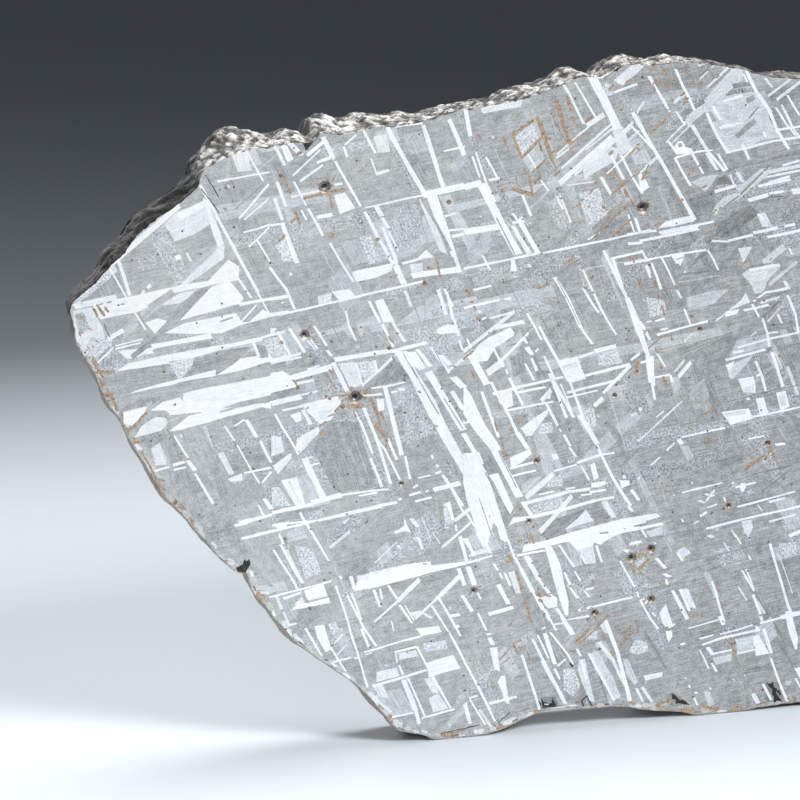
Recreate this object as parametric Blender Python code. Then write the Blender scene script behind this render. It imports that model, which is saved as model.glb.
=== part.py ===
"""Iron meteorite slice: one slab of nickel iron, sawn flat on both sides, with its natural rind on its rim.

The slab stands on its lower edge. X runs along it, Y through its thickness, Z up. The front face is at -Y.
The origin is on the surface that it stands on, under the middle of its box.
Run with: blender --background --python part.py
"""

from math import exp

import bmesh
import bpy
from mathutils import Matrix, Vector, noise
from mathutils.geometry import interpolate_bezier

MM = 0.001

THICKNESS = 10.0  # in millimetres, between the two sawn faces

# The front face's outline, in millimetres as (x, z), clockwise from its left tip
UPPER_LEFT_FLANK = [
    (-91.6, 75.0), (-88.2, 78.2), (-86.0, 80.6), (-83.4, 83.0), (-80.2, 86.5), (-77.9, 88.5), (-74.8, 90.1),
    (-71.2, 93.2), (-70.2, 95.8), (-67.6, 97.2),
]
TOP_EDGE = [
    (-64.6, 98.2), (-60.2, 99.0), (-55.4, 99.5), (-52.4, 99.9), (-51.6, 101.0), (-48.4, 100.4),
    (-42.6, 101.4), (-36.0, 102.1), (-30.2, 103.5), (-23.6, 104.4), (-17.2, 105.6), (-12.4, 107.2),
    (-7.4, 108.8), (-4.6, 108.2), (-1.2, 110.3), (3.4, 110.1), (8.4, 110.7), (14.0, 110.2), (20.6, 109.0),
    (25.2, 107.9), (30.2, 107.5),
]
RIGHT_SHOULDER = [
    (35.6, 106.9), (41.8, 105.0), (46.8, 105.2), (53.0, 103.3), (58.2, 100.6), (63.4, 99.7), (68.2, 96.6),
    (71.8, 92.4), (75.6, 90.6), (79.8, 87.2), (82.6, 82.0),
]
RIGHT_END = [
    (84.2, 76.4), (85.2, 70.8), (88.0, 66.4), (90.8, 61.6), (91.6, 55.4), (90.8, 49.6), (87.8, 45.0),
    (86.8, 40.0), (87.6, 34.4), (85.4, 28.0), (80.8, 23.6), (77.4, 20.4), (75.0, 15.4), (71.4, 9.8),
    (66.2, 7.0), (60.6, 5.2), (55.4, 3.4),
]
UNDERSIDE = [
    (50.4, 1.2), (45.4, -0.3), (39.6, -0.2), (34.0, 0.6), (28.6, 0.8), (24.0, 0.3), (19.4, -0.4), (15.6, 0.0),
    (11.0, 1.1), (5.6, 1.9), (0.2, 3.2), (-5.2, 3.3), (-11.2, 3.8), (-14.8, 3.4), (-18.4, 1.9), (-22.4, 0.7),
    (-25.6, 0.2), (-28.8, -0.4), (-31.4, 0.1), (-34.4, 1.4), (-38.8, 2.8),
]
LOWER_LEFT_FLANK = [
    (-42.2, 6.6), (-45.6, 10.6), (-49.8, 14.0), (-54.4, 17.5), (-58.0, 21.2), (-61.4, 25.8), (-63.9, 29.4),
    (-63.6, 31.0), (-64.9, 31.0), (-67.6, 32.8), (-71.6, 37.8), (-75.2, 42.4), (-77.6, 44.8), (-79.6, 48.8),
    (-82.2, 53.4), (-84.2, 57.2), (-86.4, 60.5), (-88.2, 65.2), (-90.6, 69.6), (-91.2, 72.6),
]

OUTLINE_STEP = 1.6  # the longest side of the outline's polygon, in millimetres
BEZIER_PULL = 0.3
RING_DEPTHS = (0.05, 0.2, 0.36, 0.52, 0.68, 0.84, 0.95)  # rings round the rim, as shares of the thickness

# Where the rim slopes in towards the back face, in millimetres: (x, z, reach along the rim, how far in)
SLOPES = [
    (-91.4, 74.0, 9.0, 1.6),
    (-83.0, 55.0, 14.0, 1.8),
    (-68.0, 34.0, 16.0, 1.8),
    (-51.0, 15.0, 12.0, 1.5),
]

# Knobs and grooves of the rind, in millimetres: (x, z, depth from mid-thickness, reach along the rim, reach
# through the thickness, height). A groove has a height below zero.
KNOBS = [
    (-89.6, 77.4, 0.6, 2.4, 4.0, 0.4),
    (-84.6, 82.2, 1.5, 2.0, 5.0, 0.6),
    (-79.0, 88.0, 2.0, 2.4, 4.0, 0.6),
    (-73.8, 90.8, 2.5, 1.8, 3.5, 0.5),
    (-64.8, 98.4, 2.4, 4.2, 3.6, 3.0),
    (-61.2, 99.0, 0.8, 2.2, 3.0, 0.9),
    (-55.4, 99.6, 2.0, 1.9, 3.4, 1.5),
    (-49.6, 100.8, 2.2, 2.2, 4.4, 2.7),
    (-44.4, 101.2, 2.4, 3.4, 4.0, 1.8),
    (-38.2, 101.8, 2.8, 3.0, 3.2, 1.0),
    (-28.0, 104.0, -0.4, 2.2, 2.6, 0.6),
    (-17.0, 105.8, 1.6, 2.6, 3.2, 1.0),
    (-8.8, 108.4, 2.4, 1.8, 3.0, 0.7),
    (1.6, 110.4, 2.6, 2.6, 3.4, 1.1),
    (8.4, 110.7, 1.0, 1.4, 2.4, 0.4),
    (36.4, 106.8, 0.6, 3.2, 3.4, 0.9),
    (48.6, 104.8, 1.6, 2.6, 3.0, 1.0),
    (65.0, 99.0, -1.0, 3.4, 4.0, 1.1),
    (79.0, 87.6, 1.2, 3.0, 3.6, 0.9),
    (91.0, 58.0, 0.4, 3.6, 3.6, 0.3),
    (89.4, 36.0, -1.2, 3.0, 3.0, 0.7),
    (78.0, 16.4, 1.0, 3.0, 3.4, 0.9),
    (58.2, 4.2, 0.0, 3.4, 3.4, 0.7),
    (4.0, 2.6, 0.8, 3.0, 4.0, 0.5),
    (-15.0, 3.4, 1.4, 2.4, 3.6, 0.6),
    (-34.8, 1.8, 1.4, 3.0, 4.4, 0.8),
    (-56.4, 19.4, 1.0, 3.0, 3.6, 0.4),
    (-80.4, 50.8, 1.6, 3.4, 3.6, 0.4),
]
GROOVES = [
    (-86.4, 80.2, 1.4, 0.9, 5.5, -0.9),
    (-82.2, 84.4, 2.6, 0.8, 3.6, -0.7),
    (-76.6, 89.2, 0.0, 0.9, 2.4, -0.7),
    (-70.9, 93.8, 1.0, 1.2, 4.5, -0.6),
    (-58.2, 99.2, -1.0, 1.0, 2.4, -0.7),
    (-52.6, 99.9, 0.8, 0.8, 5.5, -1.4),
    (-33.0, 102.8, 0.6, 1.2, 3.2, -0.7),
    (-22.4, 104.6, 2.2, 1.4, 2.8, -0.7),
    (-12.8, 107.2, 0.4, 1.1, 3.4, -0.6),
    (-4.4, 108.4, 1.2, 1.2, 4.2, -0.9),
    (5.2, 110.2, 2.0, 1.2, 3.2, -0.7),
    (25.4, 107.8, 1.0, 2.0, 4.4, -0.6),
    (42.4, 105.0, -0.6, 1.6, 3.6, -0.8),
    (56.0, 102.0, 1.6, 1.8, 3.6, -0.8),
    (73.0, 92.4, 0.4, 1.8, 4.4, -0.9),
    (86.6, 75.4, -0.8, 1.8, 4.0, -0.8),
    (90.6, 44.8, 1.2, 1.8, 4.2, -0.9),
    (83.2, 24.4, -1.6, 1.6, 3.6, -0.8),
    (70.2, 8.8, 0.8, 1.8, 4.2, -0.8),
    (31.0, 0.8, -0.6, 2.2, 4.0, -0.5),
    (9.4, 1.4, -2.2, 1.8, 2.8, -0.4),
    (-9.0, 3.6, -1.8, 2.0, 3.6, -0.4),
    (-40.6, 4.8, 0.4, 1.6, 4.0, -0.5),
    (-66.4, 32.0, 1.0, 1.4, 4.0, -0.6),
    (-87.4, 63.0, -0.6, 1.6, 3.6, -0.4),
]

# The rind's general relief, in millimetres
BULGE = 0.45  # how far mid-thickness stands out of the sawn edges
CRUST_RELIEF = 0.55
CRUST_GRAIN = 3.4
FINE_RELIEF = 0.22
FINE_GRAIN = 1.3
FINE_OFFSET = 40.0  # takes the fine relief from another part of the noise
SAWN_EDGE_SHARE = 0.45  # of the relief, where the saw has cut it through
WORN_BELOW = 0.35  # the lowest knobs are worn flat up to this height, which leaves the feet

# Pits in the sawn faces, in millimetres: (x, z, radius), where small inclusions fell out
FRONT_PITS = [(-51.0, 92.4, 1.1), (-46.1, 58.6, 1.2), (-54.4, 69.1, 0.8), (2.5, 87.2, 1.1)]
BACK_PITS = [(-28.0, 71.0, 1.1), (33.0, 44.0, 1.2), (56.0, 78.0, 0.9)]
PIT_DEPTH_SHARE = 0.5
PIT_STRETCH = 1.15

IRON_COLOUR = (0.56, 0.57, 0.58, 1.0)


def clear_scene():
    for obj in list(bpy.data.objects):
        bpy.data.objects.remove(obj)


def new_collection(name):
    collection = bpy.data.collections.new(name)
    bpy.context.scene.collection.children.link(collection)
    return collection


def smooth_loop(corners, step):
    """Points a step apart or less, on a closed curve through the corners."""
    count = len(corners)
    loop = []
    for i in range(count):
        before, here, there, after = (Vector(corners[(i + k) % count]).to_3d() for k in (-1, 0, 1, 2))
        span = (there - here).length
        leave = here + (there - before).normalized() * span * BEZIER_PULL
        reach = there - (after - here).normalized() * span * BEZIER_PULL
        pieces = max(1, round(span / step))
        loop += interpolate_bezier(here, leave, reach, there, pieces + 1)[:-1]
    return [Vector((point.x, point.y)) for point in loop]


def slab_blank(outline):
    """The outline extruded to the slab's thickness and stood upright, as one welded mesh."""
    curve = bpy.data.curves.new("blank", "CURVE")
    curve.dimensions = "2D"
    curve.fill_mode = "BOTH"
    curve.extrude = THICKNESS / 2 * MM
    spline = curve.splines.new("POLY")
    spline.points.add(len(outline) - 1)
    for point, place in zip(spline.points, outline):
        point.co = (place.x * MM, place.y * MM, 0, 1)
    spline.use_cyclic_u = True
    blank = bpy.data.objects.new("blank", curve)
    bpy.context.scene.collection.objects.link(blank)
    bpy.context.view_layer.update()
    mesh = bpy.data.meshes.new_from_object(blank.evaluated_get(bpy.context.evaluated_depsgraph_get()))
    bpy.data.objects.remove(blank)
    shape = bmesh.new()
    shape.from_mesh(mesh)
    bmesh.ops.remove_doubles(shape, verts=shape.verts, dist=0.00001)
    upright = Matrix(((1, 0, 0, 0), (0, 0, -1, 0), (0, 1, 0, 0), (0, 0, 0, 1)))
    bmesh.ops.transform(shape, matrix=upright, verts=shape.verts)
    return shape


def is_on_face(place):
    return abs(abs(place.y) - THICKNESS / 2 * MM) < 0.00001


def merge_caps(shape):
    """Each sawn face becomes one polygon, so that moving its edge can't fold it."""
    for side in (-1, 1):
        cap = [f for f in shape.faces if all(is_on_face(v.co) and v.co.y * side > 0 for v in f.verts)]
        bmesh.ops.dissolve_faces(shape, faces=cap)


def add_rings(shape):
    """Cuts the rim into rings through the thickness."""
    for share in RING_DEPTHS:
        depth = (share - 0.5) * THICKNESS * MM
        rim = [f for f in shape.faces if abs(f.normal.y) < 0.5]
        edges = {e for f in rim for e in f.edges}
        verts = {v for f in rim for v in f.verts}
        bmesh.ops.bisect_plane(
            shape, geom=rim + list(edges) + list(verts), plane_co=(0, depth, 0), plane_no=(0, 1, 0)
        )


def knob_height(x, z, depth):
    """How far the knobs and grooves push the rind out at this place, in millimetres."""
    total = 0.0
    for knob_x, knob_z, knob_depth, along, through, height in KNOBS + GROOVES:
        away = ((x - knob_x) ** 2 + (z - knob_z) ** 2) / along**2 + ((depth - knob_depth) / through) ** 2
        total += height * exp(-away)
    return total


def slope_depth(x, z, share):
    """How far the rim has sloped in at this share of the thickness from the front, in millimetres."""
    depths = []
    for slope_x, slope_z, reach, depth in SLOPES:
        away = ((x - slope_x) ** 2 + (z - slope_z) ** 2) / reach**2
        depths.append(depth * exp(-away))
    return max(depths) * share


def rind_relief(place):
    """The rind's push outwards, in millimetres, at a place on the blank's rim."""
    x, depth, z = (value / MM for value in place)
    across = depth / (THICKNESS / 2)
    crust = noise.noise(Vector((x, depth * 0.8, z)) / CRUST_GRAIN)
    fine = noise.noise(Vector((x + FINE_OFFSET, depth, z)) / FINE_GRAIN)
    kept = SAWN_EDGE_SHARE if is_on_face(place) else 1.0
    bulge = BULGE * (1 - across**2) - slope_depth(x, z, (1 + across) / 2)
    return bulge + knob_height(x, z, depth) + kept * (CRUST_RELIEF * crust + FINE_RELIEF * fine)


def outward(vert):
    """The rim's direction away from the slab at this vertex, in the plane of the slab."""
    normals = [f.normal for f in vert.link_faces if abs(f.normal.y) < 0.5]
    total = sum(normals, Vector())
    total.y = 0
    return total.normalized()


def carve_rind(shape):
    shape.normal_update()
    moves = [(v, outward(v) * rind_relief(v.co) * MM) for v in shape.verts]
    for vert, move in moves:
        vert.co += move


def settle(shape):
    """Wears the feet flat and centres the slab on the origin. Returns how far it moved."""
    places = [v.co.x for v in shape.verts]
    shift = Vector((-(min(places) + max(places)) / 2, 0, -WORN_BELOW * MM))
    for vert in shape.verts:
        vert.co += shift
        vert.co.z = max(0.0, vert.co.z)
    return shift


def finish_blank(shape):
    big = [f for f in shape.faces if len(f.verts) > 3]
    bmesh.ops.triangulate(shape, faces=big, quad_method="BEAUTY", ngon_method="BEAUTY")
    bmesh.ops.recalc_face_normals(shape, faces=shape.faces)


def add_cutter(name, shape, shift, cutters):
    mesh = bpy.data.meshes.new(name)
    shape.to_mesh(mesh)
    shape.free()
    cutter = bpy.data.objects.new(name, mesh)
    cutter.location = shift
    cutters.objects.link(cutter)
    cutter.hide_render = True
    cutter.display_type = "WIRE"
    return cutter


def pit_cutter(x, z, radius, side):
    """A flattened ball sunk into a sawn face."""
    shape = bmesh.new()
    bmesh.ops.create_icosphere(shape, subdivisions=2, radius=radius * MM)
    squash = Matrix.Diagonal((1.0, PIT_DEPTH_SHARE, PIT_STRETCH, 1.0))
    place = Matrix.Translation((x * MM, side * THICKNESS / 2 * MM, z * MM))
    bmesh.ops.transform(shape, matrix=place @ squash, verts=shape.verts)
    return shape


def cut(obj, cutter):
    modifier = obj.modifiers.new(cutter.name, "BOOLEAN")
    modifier.operation = "DIFFERENCE"
    modifier.object = cutter
    modifier.solver = "EXACT"


def iron_material():
    material = bpy.data.materials.new("etched_iron")
    material.use_nodes = True
    surface = material.node_tree.nodes["Principled BSDF"]
    surface.inputs["Base Color"].default_value = IRON_COLOUR
    surface.inputs["Metallic"].default_value = 0.9
    surface.inputs["Roughness"].default_value = 0.45
    return material


def build_slice(parts, cutters):
    corners = UPPER_LEFT_FLANK + TOP_EDGE + RIGHT_SHOULDER + RIGHT_END + UNDERSIDE + LOWER_LEFT_FLANK
    shape = slab_blank(smooth_loop(corners, OUTLINE_STEP))
    merge_caps(shape)
    add_rings(shape)
    carve_rind(shape)
    shift = settle(shape)
    finish_blank(shape)
    mesh = bpy.data.meshes.new("meteorite_slice")
    shape.to_mesh(mesh)
    shape.free()
    slab = bpy.data.objects.new("meteorite_slice", mesh)
    parts.objects.link(slab)
    mesh.materials.append(iron_material())
    pits = [(*pit, -1) for pit in FRONT_PITS] + [(*pit, 1) for pit in BACK_PITS]
    for i, pit in enumerate(pits):
        cut(slab, add_cutter(f"pit_cutter_{i + 1}", pit_cutter(*pit), shift, cutters))


def main():
    clear_scene()
    parts = new_collection("iron_meteorite_slice")
    cutters = new_collection("cutters")
    build_slice(parts, cutters)


main()
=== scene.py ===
"""Looks of the iron meteorite slice: its two etched faces, the rind round its rim, and a small studio.

Lengths are in millimetres, and become metres where a mesh is made. Only the studio's are in metres. On a
sawn face a place is (x, z), in the part's own frame. The front face looks along -Y and the back one along +Y.
"""

import random
from collections import namedtuple
from math import atan2, cos, degrees, exp, pi, radians, sin

import bmesh
import bpy
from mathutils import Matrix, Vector, noise
from mathutils.bvhtree import BVHTree
from mathutils.geometry import delaunay_2d_cdt


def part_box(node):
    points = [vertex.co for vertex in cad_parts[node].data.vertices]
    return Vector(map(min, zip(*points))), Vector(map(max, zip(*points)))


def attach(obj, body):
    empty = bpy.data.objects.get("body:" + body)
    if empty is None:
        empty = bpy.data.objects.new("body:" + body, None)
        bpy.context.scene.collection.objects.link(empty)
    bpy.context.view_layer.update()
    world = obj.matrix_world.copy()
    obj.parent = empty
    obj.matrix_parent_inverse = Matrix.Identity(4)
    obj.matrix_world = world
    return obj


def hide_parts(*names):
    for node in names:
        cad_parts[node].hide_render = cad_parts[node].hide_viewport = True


MM = 0.001
NODE = "meteorite_slice"

# The slab: its faces lie at y = -HALF and y = +HALF, from x = -SLAB_REACH to SLAB_REACH and up to SLAB_TOP
HALF = 5.0
SLAB_REACH = 93
SLAB_TOP = 112

# The rim's grid of points: how far apart they are along the rim, how many rows of them there are through the
# thickness, and how far outside the sawn outline the rays start that find the solid's surface
STATION_STEP = 0.46
RIM_ROWS = 25
RAY_START = 4.0

# Places closer than this are one place
SAME_PLACE = 0.001

# How far apart the points of a ragged mark's outline are
BLOT_STEP = 0.45

# The flat sheet that all is laid out on: the front face above the back one, and the rim's strips beside them
SHEET_SIDE = 226.0
SHEET_MARGIN = 1
SHEET_UPPER_ROW = 114
SHEET_RIM_COLUMN = 188
SHEET_STRIP_WIDTH = 12

# The slice's two materials, in their order on the mesh
IRON, RIND = 0, 1

# Half the width of the square floor, in metres
FLOOR_REACH = 6.0

# Directions along the slice and through its thickness
ACROSS, THROUGH = (1.0, 0.0, 0.0), (0.0, 1.0, 0.0)

# Right of this x, and on the whole back face, seeds decide the bright plates
LAID_UNTIL = 34
FRONT_SEED, BACK_SEED = 11, 29

# The vector noise takes its offsets from this seed, and without one from the clock
noise.seed_set(5)

# The four directions in which the iron grew its plates, as angles on the front face in degrees
RISING, STEEP, SLANTING, STEEPEST = 9.0, -62.0, 40.0, -72.0

# Kinds of plate: how bright, how flecked, how warm, and how rusty. The brightness is partly the iron's own,
# as in its nickel-rich lines, and partly painted sheen, which makes plates of one iron lighter or darker
KINDS = {
    "white": (0.98, 0.1, 0.0, 0.0),
    "cream": (0.93, 0.15, 0.35, 0.0),
    "pale": (0.8, 0.3, 0.0, 0.0),
    "flecked": (0.62, 1.0, 0.0, 0.0),
    "light": (0.52, 0.2, 0.0, 0.0),
    "grey": (0.35, 0.14, 0.35, 0.0),
    "sand": (0.38, 0.2, 0.8, 0.0),
    "dark": (0.24, 0.16, 0.25, 0.0),
    "mottled": (0.42, 0.7, 0.1, 0.0),
    "milky": (0.66, 0.25, 0.0, 0.0),
    "seam": (0.24, 0.1, 0.1, 0.0),
    "crack": (-0.42, 0.3, 0.3, 0.0),
    "rust": (0.3, 0.4, 0.3, 1.0),
    "speck": (-0.1, 0.2, 0.3, 0.7),
    "ochre": (0.34, 0.4, 0.5, 0.9),
    "bowl": (0.0, 0.3, 0.2, 0.2),
    "core": (-0.6, 0.2, 0.0, 0.0),
}

Plate = namedtuple("Plate", "kind corners lay tone")
Pit = namedtuple("Pit", "x z radius depth")

# The pits of each sawn face
FRONT_PITS = (
    Pit(-51.0, 92.05, 0.95, 0.6), Pit(-46.1, 58.25, 1.05, 0.6), Pit(-54.4, 68.75, 0.7, 0.4),
    Pit(2.5, 86.85, 0.95, 0.55), Pit(-16.6, 35.9, 0.45, 0.2), Pit(-38.5, 43.6, 0.4, 0.2),
    Pit(-2.0, 56.0, 0.4, 0.2), Pit(12.9, 66.3, 0.4, 0.2), Pit(-26.1, 24.9, 0.5, 0.2),
    Pit(-15.4, 45.9, 0.5, 0.25), Pit(1.5, 28.4, 0.75, 0.35), Pit(4.9, 29.7, 0.7, 0.35),
    Pit(-4.9, 19.5, 0.55, 0.25), Pit(5.1, 21.0, 0.65, 0.3), Pit(18.8, 36.1, 0.45, 0.2),
    Pit(25.6, 46.4, 0.5, 0.25),
)
BACK_PITS = (Pit(-28.0, 70.7, 1.1, 0.6), Pit(33.0, 43.7, 1.2, 0.6), Pit(56.0, 77.7, 0.9, 0.5))

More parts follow.
